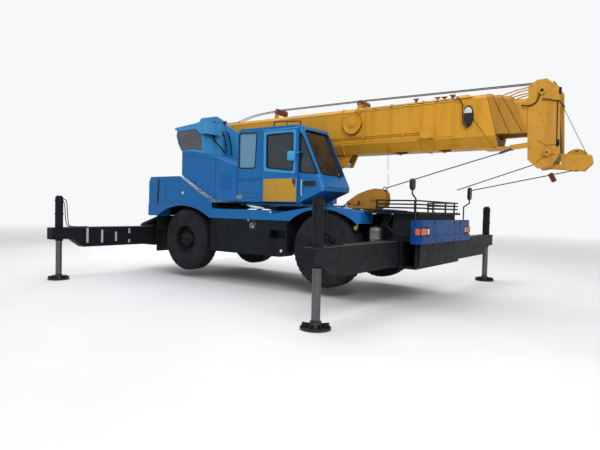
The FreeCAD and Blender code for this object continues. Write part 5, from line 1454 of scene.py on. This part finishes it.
class CRANE_OT_boom_trim(bpy.types.Operator):
    """Seams, hose reel, cables, pipes, brackets, lamp and bolts along the boom"""

    bl_idname = "crane.boom_trim"
    bl_label = "Boom trim"

    def execute(self, context):
        job = Job("boom")
        wall = 0.32
        for s in (-1, 1):
            ya, yb = sorted((s * wall, s * (wall + 0.0015)))
            for z, x0, x1 in ((2.852, 0.45, 5.62), (3.43, 0.45, 5.66)):
                job.box(at((x0 + x1) / 2, (ya + yb) / 2, z), (x1 - x0, yb - ya, 0.006))
            for x in (1.3, 2.42, 4.05):
                job.box(at(x, (ya + yb) / 2, 3.14), (0.006, yb - ya, 0.57))
        job.done("boom_seams", "seam_orange")
        for s in (-1, 1):
            job.bolts([(x, z) for x in (3.41, 4.43, 5.04, 5.29) for z in (2.9, 3.14, 3.38)], s * (wall + 0.014), s,
                      0.007)
            job.bolts([(5.66 + 0.55 * i / 3, 3.42 - 0.6 * i / 3) for i in range(4)], s * (wall + 0.022), s, 0.007)
        job.done("boom_bolts", "boom_orange")
        centre = at(REEL_X, -0.39, REEL_Z)
        disc = [(0.0, 0.19), (-0.006, 0.198), (-0.012, 0.198), (-0.014, 0.19), (-0.01, 0.17), (-0.004, 0.165),
                (-0.004, 0.075), (-0.012, 0.07), (-0.026, 0.066), (-0.03, 0.055), (-0.03, 0.02), (-0.034, 0.018),
                (-0.036, 0.0005)]
        job.lathe(disc, at(REEL_X, -0.3815, REEL_Z), 64)
        job.rod(centre + Vector((0, -0.006, 0)), centre + Vector((0, 0.002, 0)), 0.078, 40)
        job.done("reel_disc", "boom_orange", angle=30.0)
        for a, b in around(6, 0.3):
            reach = Vector((a, 0, b))
            job.bolt(centre + reach * 0.045 + Vector((0, -0.0215, 0)), (0, -1, 0), 0.007)
            job.bolt(centre + reach * 0.176 + Vector((0, -0.006, 0)), (0, -1, 0), 0.006)
        job.done("reel_bolts", "boom_orange")
        groove = [at(REEL_X + a, -0.378, REEL_Z + b) for a, b in arc(0.1995, 0.1995, steps=48)]
        job.loop(groove, 0.008)
        # The thick dark lip along the reel's lower half is painted shade under its edge; the thin rim goes all round.
        lip = [at(REEL_X + a, -0.372, REEL_Z + b) for a, b in arc(0.2, -0.2, 0.5, 24)]
        job.tube(lip, 0.014, 8)
        job.done("reel_rim_and_lower_shade", "roller_red")
        cable = [at(REEL_X, -0.37, 3.395), at(3.72, -0.37, 3.4), at(3.77, -0.36, 3.43), at(3.95, -0.345, 3.46),
                 at(4.6, -0.342, 3.462), at(5.6, -0.345, 3.462), at(5.95, -0.352, 3.462)]
        job.hose(cable, 8, 0.006, 8)
        loop = [at(5.55, -0.3, 3.52), at(5.66, -0.345, 3.5), at(5.76, -0.375, 3.38), at(5.775, -0.38, 3.2),
                at(5.8, -0.38, 3.02), at(5.87, -0.36, 2.975), at(5.89, -0.34, 3.05)]
        job.hose(loop, 8, 0.007, 8)
        job.done("boom_cable", "hose_rubber")
        for x, tall in ((4.906, 0.05), (5.298, 0.035), (5.42, 0.03), (5.56, 0.045)):
            job.box(at(x, -0.27, 3.502 + tall / 2), (0.04, 0.03, tall))
            job.rod(at(x - 0.05, -0.27, 3.508 + tall), at(x + 0.05, -0.27, 3.508 + tall), 0.012, 14)
        for x, long in ((4.6, 0.21), (5.43, 0.17)):
            job.box(at(x, -0.14, 2.641), (long, 0.09, 0.026))
            job.box(at(x, -0.14, 2.632), (long - 0.06, 0.06, 0.03))
        job.done("boom_brackets", "roller_red", bevel=0.002)
        pipe = [at(0.75, -0.335, 2.95), at(1.5, -0.335, 2.93), at(3.3, -0.338, 2.93), at(5.0, -0.34, 2.93)]
        for lift in (0.0, 0.03):
            job.tube([p + Vector((0, 0, lift)) for p in smooth_run(pipe, 6)], 0.008, 8)
        for x in (1.4, 2.2, 3.0, 3.9, 4.7):
            job.box(at(x, -0.336, 2.947), (0.03, 0.036, 0.07))
        job.done("boom_pipes", "boom_orange", bevel=0.002)
        job.loft(arc(0.078, 0.172, steps=40), at(5.87, -0.372, 3.163), ((0.03, 1.0), (0.0, 1.0), (-0.014, 0.985),
                                                                        (-0.02, 0.94)))
        job.rod(at(5.87, -0.31, 3.25), at(5.87, -0.345, 3.25), 0.02, 16)
        job.rod(at(5.87, -0.31, 3.08), at(5.87, -0.345, 3.08), 0.02, 16)
        job.done("boom_lamp", "dark_plastic")
        job.loft(arc(0.064, 0.095, 0.5, 24, 0.045), at(5.87, -0.391, 3.163),
                 ((0.0, 1.0), (-0.003, 1.0), (-0.005, 0.96)))
        job.done("boom_lamp_glass", "white_plastic")
        for x, z in ((1.64, 3.668), (3.7, 3.632)):
            for s in (-1, 1):
                job.bolt(at(x, s * 0.166, z), (0, s, 0), 0.018)
        for s in (-1, 1):
            job.bolts([(-0.14 + 0.075 * a, 3.3 + 0.075 * b) for a, b in around(8)], s * 0.42, s, 0.01)
        job.bolts([(x, z) for x in (5.08, 5.25) for z in (2.86, 2.97)], -0.38, -1, 0.008)
        job.done("boom_pins", "zinc")
        return {"FINISHED"}


class CRANE_OT_boom_head(bpy.types.Operator):
    """Sheave rims, pins, guards, ropes and the weight at the boom head"""

    bl_idname = "crane.boom_head"
    bl_label = "Boom head"

    def execute(self, context):
        rope = sizes().rope_radius
        job = Job("boom_5")
        half = 0.026
        for (x, z), r in ((UPPER_PIN, 0.165), (LOWER_PIN, 0.16)):
            groove = [(-half, r - 0.03), (-half, r - 0.001), (-half * 0.55, r - 0.0005), (-half * 0.5, r - 0.004),
                      (half * 0.5, r - 0.004), (half * 0.55, r - 0.0005), (half, r - 0.001), (half, r - 0.03)]
            for y in (-0.132, -0.044, 0.044, 0.132):
                job.lathe(groove, at(x, y, z), 64)
        job.done("head_sheave_rims", "worn_steel", angle=30.0)
        for s in (-1, 1):
            disc = sided(s, (0.028, 0.1695), (0.033, 0.168), (0.033, 0.148), (0.0305, 0.146), (0.0305, 0.12),
                         (0.034, 0.118), (0.036, 0.09), (0.034, 0.06), (0.044, 0.055), (0.05, 0.05), (0.052, 0.0005))
            job.lathe(disc, at(AUX_SHEAVE_X, 0, AUX_SHEAVE_Z), 48)
        job.done("aux_sheave_hub", "head_orange", angle=30.0)
        for s in (-1, 1):
            hole = sided(s, (0.0302, 0.024), (0.0322, 0.023), (0.0322, 0.0005))
            for a, b in around(6, 0.5):
                job.lathe(hole, at(AUX_SHEAVE_X + 0.132 * a, 0, AUX_SHEAVE_Z + 0.132 * b), 20)
        job.done("aux_sheave_plugs", "edge_dust")
        for s in (-1, 1):
            face = 0.212 + 0.014
            job.bolts(((6.8, 3.56), (6.88, 3.6), (7.0, 3.61), (7.1, 3.52), (7.15, 3.3), (7.16, 3.05), (7.17, 2.8),
                       (7.02, 2.93), (6.9, 2.93), (6.8, 3.2), (6.8, 2.95), (6.82, 2.6), (6.86, 2.42),
                       (6.98, 2.34), (7.1, 2.38), (7.17, 2.56)), s * face, s, 0.008)
            for (x, z), out in ((UPPER_PIN, 0.25), (LOWER_PIN, 0.262)):
                cap = sided(s, (out, 0.06), (out + 0.008, 0.058), (out + 0.01, 0.05), (out + 0.01, 0.0005))
                job.lathe(cap, at(x, 0, z), 36)
                job.bolts([(x + 0.036 * a, z + 0.036 * b) for a, b in around(4, math.pi / 4)], s * (out + 0.01), s,
                          0.007)
        job.done("head_bolts", "head_orange", angle=30.0)
        for s in (-1, 1):
            for (x, z), out, size in ((UPPER_PIN, 0.26, 0.024), (LOWER_PIN, 0.272, 0.014)):
                stub = sided(s, (out, size), (out + 0.006, size), (out + 0.009, size * 0.8), (out + 0.009, 0.0005))
                job.lathe(stub, at(x, 0, z), 24)
            job.hose([at(6.915, s * 0.246, 3.46), at(6.906, s * 0.25, 3.385), at(6.874, s * 0.25, 3.308),
                      at(6.814, s * 0.25, 3.268), at(6.742, s * 0.25, 3.255), at(6.658, s * 0.25, 3.275)], 6, 0.011, 10)
            job.tube([at(6.955, s * 0.246, 3.347), at(7.195, s * 0.246, 3.287)], 0.008, 8)
            job.tube([at(7.176, s * 0.235, 2.6), at(7.17, s * 0.235, 3.3)], 0.007, 8)
            for line in ([(6.911, 2.708), (7.025, 2.63), (7.17, 2.636)],
                         [(6.9, 2.375), (7.03, 2.475), (7.17, 2.485)]):
                job.tube([at(x, s * 0.2268, z) for x, z in line], 0.0035, 6)
        job.rod(at(7.195, -0.246, 3.287), at(7.195, 0.246, 3.287), 0.01, 10)
        for z in (3.45, 2.66):
            job.box(at(7.196, -0.2, z), (0.03, 0.06, 0.1))
        job.done("head_keepers", "rim_black", angle=30.0)
        for s in (-1, 1):
            for a, b in (((6.3, 3.462), (6.735, 3.56)), ((6.4, 3.43), (6.735, 3.52))):
                job.hose([at(a[0], s * 0.16, a[1]), at((a[0] + b[0]) / 2, s * 0.17, a[1] + 0.065),
                          at(b[0], s * 0.18, b[1])], 6, 0.01, 10)
        for x, z in ((6.79, 3.6), (7.1, 3.6)):
            job.rod(at(x, -0.2, z), at(x, 0.2, z), 0.012, 12)
        job.done("head_guards", "head_orange")
        for y in MAIN_LINES:
            job.tube([at(3.7, y, 3.709), at(6.93, y, 3.646)], rope, 8)
            job.tube([at(7.119, y, 3.475), at(7.214, y, 2.52)], rope, 8)
        job.done("hoist_rope_head", "steel_rope")
        split = at(5.522, -0.575, 2.25)
        socket = at(6.511, -0.25, 2.582)
        job.tube([split, socket], rope, 8)
        job.tube([socket - (socket - split).normalized() * 0.16, socket + Vector((0.03, 0.02, 0.02))], 0.02, 12)
        job.tube([at(5.8, -0.6, 1.93), at(6.9, -0.15, 2.362)], rope * 0.9, 8)
        job.tube([at(6.02, -0.6, 1.92), at(7.362, 0.0, 2.246)], rope * 0.9, 8)
        job.done("fall_ropes", "steel_rope")
        turn = Matrix.Rotation(math.radians(-27), 4, "Y")
        for lift, width, tall in ((0.0, 0.058, 0.145), (0.045, 0.074, 0.036), (0.0, 0.074, 0.036),
                                  (-0.045, 0.074, 0.036)):
            job.box(at(7.115, -0.11, 2.142) + turn @ Vector((0, 0, lift)), (width, width * 0.8, tall), turn)
        job.tube([at(7.082, -0.12, 2.176), at(7.088, -0.115, 2.205)], 0.012, 8)
        job.done("rope_weight", "roller_red", bevel=0.006)
        job.tube([at(7.207, -0.235, 3.278), at(7.559, -0.088, 2.497)], 0.0045, 6)
        job.done("switch_cable", "hose_rubber")
        job = Job("carrier")
        job.tube([at(4.66, -0.87, 1.955), split], rope, 8)
        job.tube([at(4.672, -0.8, 1.894), at(4.559, -0.594, 2.212)], rope * 0.45, 6)
        eye = at(4.64, -0.87, 1.945)
        job.loop([eye + Vector((0.03 * a, 0, 0.03 * b)) for a, b in around(20)], 0.008)
        job.done("block_rope", "steel_rope")
        return {"FINISHED"}


class CRANE_OT_drum_lines(bpy.types.Operator):
    """Rope from the drum over the boom foot to the first roller"""

    bl_idname = "crane.drum_lines"
    bl_label = "Drum lines"

    def execute(self, context):
        job = Job("boom")
        rope = sizes().rope_radius
        for y in MAIN_LINES:
            job.tube([at(1.64, y, 3.7265), at(3.7, y, 3.709)], rope, 8)
            job.hose([at(0.3, y, 3.55), at(0.9, y, 3.68), at(1.64, y, 3.7265)], 6, rope, 8)
        job.tube([at(4.531, -0.544, 2.29), at(4.398, -0.3, 2.665)], rope * 0.45, 6)
        job.done("hoist_rope_boom", "steel_rope")
        return {"FINISHED"}


# Stage


def seen_rays(tree):
    """One for rays that see the background: straight on, mirrored or through glass."""
    rays = tree.nodes.new("ShaderNodeLightPath")
    factor = rays.outputs["Is Camera Ray"]
    for ray in ("Is Glossy Ray", "Is Transmission Ray"):
        joined = tree.nodes.new("ShaderNodeMath")
        joined.operation = "MAXIMUM"
        tree.links.new(factor, joined.inputs[0])
        tree.links.new(rays.outputs[ray], joined.inputs[1])
        factor = joined.outputs["Value"]
    return factor


def fade_floor(f):
    """Lets the floor run into the background far from the machine."""
    tree = f.material.node_tree
    far = tree.nodes.new("ShaderNodeVectorMath")
    far.operation = "LENGTH"
    tree.links.new(f.place, far.inputs[0])
    pale = tree.nodes.new("ShaderNodeEmission")
    pale.inputs["Color"].default_value = BACKGROUND
    mix = tree.nodes.new("ShaderNodeMixShader")
    tree.links.new(f.maths("MULTIPLY", f.ramp(far.outputs["Value"], 9.0, 34.0), seen_rays(tree)), mix.inputs["Fac"])
    tree.links.new(f.shader.outputs["BSDF"], mix.inputs[1])
    tree.links.new(pale.outputs["Emission"], mix.inputs[2])
    out = next(n for n in tree.nodes if n.type == "OUTPUT_MATERIAL")
    tree.links.new(mix.outputs["Shader"], out.inputs["Surface"])


class CRANE_OT_stage(bpy.types.Operator):
    """Floor, lights and the camera"""

    bl_idname = "crane.stage"
    bl_label = "Stage"

    def execute(self, context):
        scene = context.scene
        stage = scene.crane_stage
        bm = bmesh.new()
        bmesh.ops.create_circle(bm, cap_ends=True, segments=96, radius=60.0)
        mesh = bpy.data.meshes.new("studio_floor")
        bm.to_mesh(mesh)
        bm.free()
        floor = bpy.data.objects.new("studio_floor", mesh)
        floor.location = (0, 0, -0.001)
        scene.collection.objects.link(floor)
        f = Finish("studio_floor")
        f.colour(f.blend(f.ramp(f.noise(0.6, 3.0), 0.3, 0.7), (0.72, 0.72, 0.72), (0.76, 0.76, 0.76)))
        f.set(Roughness=0.9)
        fade_floor(f)
        mesh.materials.append(f.material)
        self.world(scene, stage)
        self.lamps(scene)
        self.camera(scene, stage)
        scene.view_settings.view_transform = "Standard"
        return {"FINISHED"}

    def world(self, scene, stage):
        world = bpy.data.worlds.new("studio")
        scene.world = world
        world.use_nodes = True
        tree = world.node_tree
        tree.nodes.clear()
        out = tree.nodes.new("ShaderNodeOutputWorld")
        light = tree.nodes.new("ShaderNodeBackground")
        light.inputs["Color"].default_value = (0.95, 0.97, 1.0, 1.0)
        light.inputs["Strength"].default_value = stage.sky
        seen = tree.nodes.new("ShaderNodeBackground")
        seen.inputs["Color"].default_value = BACKGROUND
        seen.inputs["Strength"].default_value = 1.0
        mix = tree.nodes.new("ShaderNodeMixShader")
        tree.links.new(seen_rays(tree), mix.inputs["Fac"])
        tree.links.new(light.outputs["Background"], mix.inputs[1])
        tree.links.new(seen.outputs["Background"], mix.inputs[2])
        tree.links.new(mix.outputs["Shader"], out.inputs["Surface"])

    def lamps(self, scene):
        for name, spot, aim, width, watts in (
            ("key", (9.0, -9.0, 9.0), (0.0, 0.0, 1.6), 8.0, 900.0),
            ("top", (-2.0, 1.0, 12.0), (0.0, 0.0, 1.0), 12.0, 900.0),
            ("rear", (-10.0, 6.0, 6.0), (0.0, 0.0, 1.6), 8.0, 450.0),
        ):
            data = bpy.data.lights.new(name, "AREA")
            data.shape = "DISK"
            data.size = width
            data.energy = watts
            lamp = bpy.data.objects.new(name, data)
            lamp.location = spot
            lamp.rotation_euler = (Vector(aim) - Vector(spot)).to_track_quat("-Z", "Y").to_euler()
            scene.collection.objects.link(lamp)

    def camera(self, scene, stage):
        data = bpy.data.cameras.new("camera")
        data.sensor_width = 36.0
        data.lens = stage.lens
        camera = bpy.data.objects.new("camera", data)
        y, p, r = stage.yaw, stage.pitch, stage.roll
        ahead = Vector((math.cos(p) * math.cos(y), math.cos(p) * math.sin(y), math.sin(p)))
        right = Vector((math.sin(y), -math.cos(y), 0))
        up = right.cross(ahead)
        across = math.cos(r) * right + math.sin(r) * up
        top = math.cos(r) * up - math.sin(r) * right
        turn = Matrix((across, top, -ahead)).transposed()
        camera.matrix_world = Matrix.Translation(at(*CAMERA_SPOT)) @ turn.to_4x4()
        scene.collection.objects.link(camera)
        scene.camera = camera


OPERATORS = (
    CRANE_OT_frame_finishes,
    CRANE_OT_tyres,
    CRANE_OT_wheel_hubs,
    CRANE_OT_hood_trim,
    CRANE_OT_skirt_trim,
    CRANE_OT_band_trim,
    CRANE_OT_outriggers,
    CRANE_OT_carrier_front,
    CRANE_OT_deck,
    CRANE_OT_hook_block,
    CRANE_OT_cab_trim,
    CRANE_OT_cab_door_trim,
    CRANE_OT_cab_inside,
    CRANE_OT_tail,
    CRANE_OT_boom_trim,
    CRANE_OT_boom_head,
    CRANE_OT_drum_lines,
    CRANE_OT_stage,
)


class CRANE_PT_panel(bpy.types.Panel):
    """Lists the crane's groups of parts"""

    bl_idname = "CRANE_PT_panel"
    bl_label = "Crane"
    bl_space_type = "VIEW_3D"
    bl_region_type = "UI"
    bl_category = "Crane"

    def draw(self, context):
        for operator in OPERATORS:
            self.layout.operator(operator.bl_idname)
        for group in ("crane_paint", "crane_sizes", "crane_stage"):
            values = getattr(context.scene, group)
            for name in values.__annotations__:
                self.layout.prop(values, name)


GROUPS = (("crane_paint", CranePaint), ("crane_sizes", CraneSizes), ("crane_stage", CraneStage))
CLASSES = tuple(group for name, group in GROUPS) + OPERATORS + (CRANE_PT_panel,)


def register():
    for cls in CLASSES:
        bpy.utils.register_class(cls)
    for name, group in GROUPS:
        setattr(bpy.types.Scene, name, PointerProperty(type=group))


def unregister():
    for name, _ in GROUPS:
        delattr(bpy.types.Scene, name)
    for cls in reversed(CLASSES):
        bpy.utils.unregister_class(cls)


def main():
    register()
    for operator in OPERATORS:
        group, name = operator.bl_idname.split(".")
        getattr(getattr(bpy.ops, group), name)()


if __name__ == "__main__":
    main()
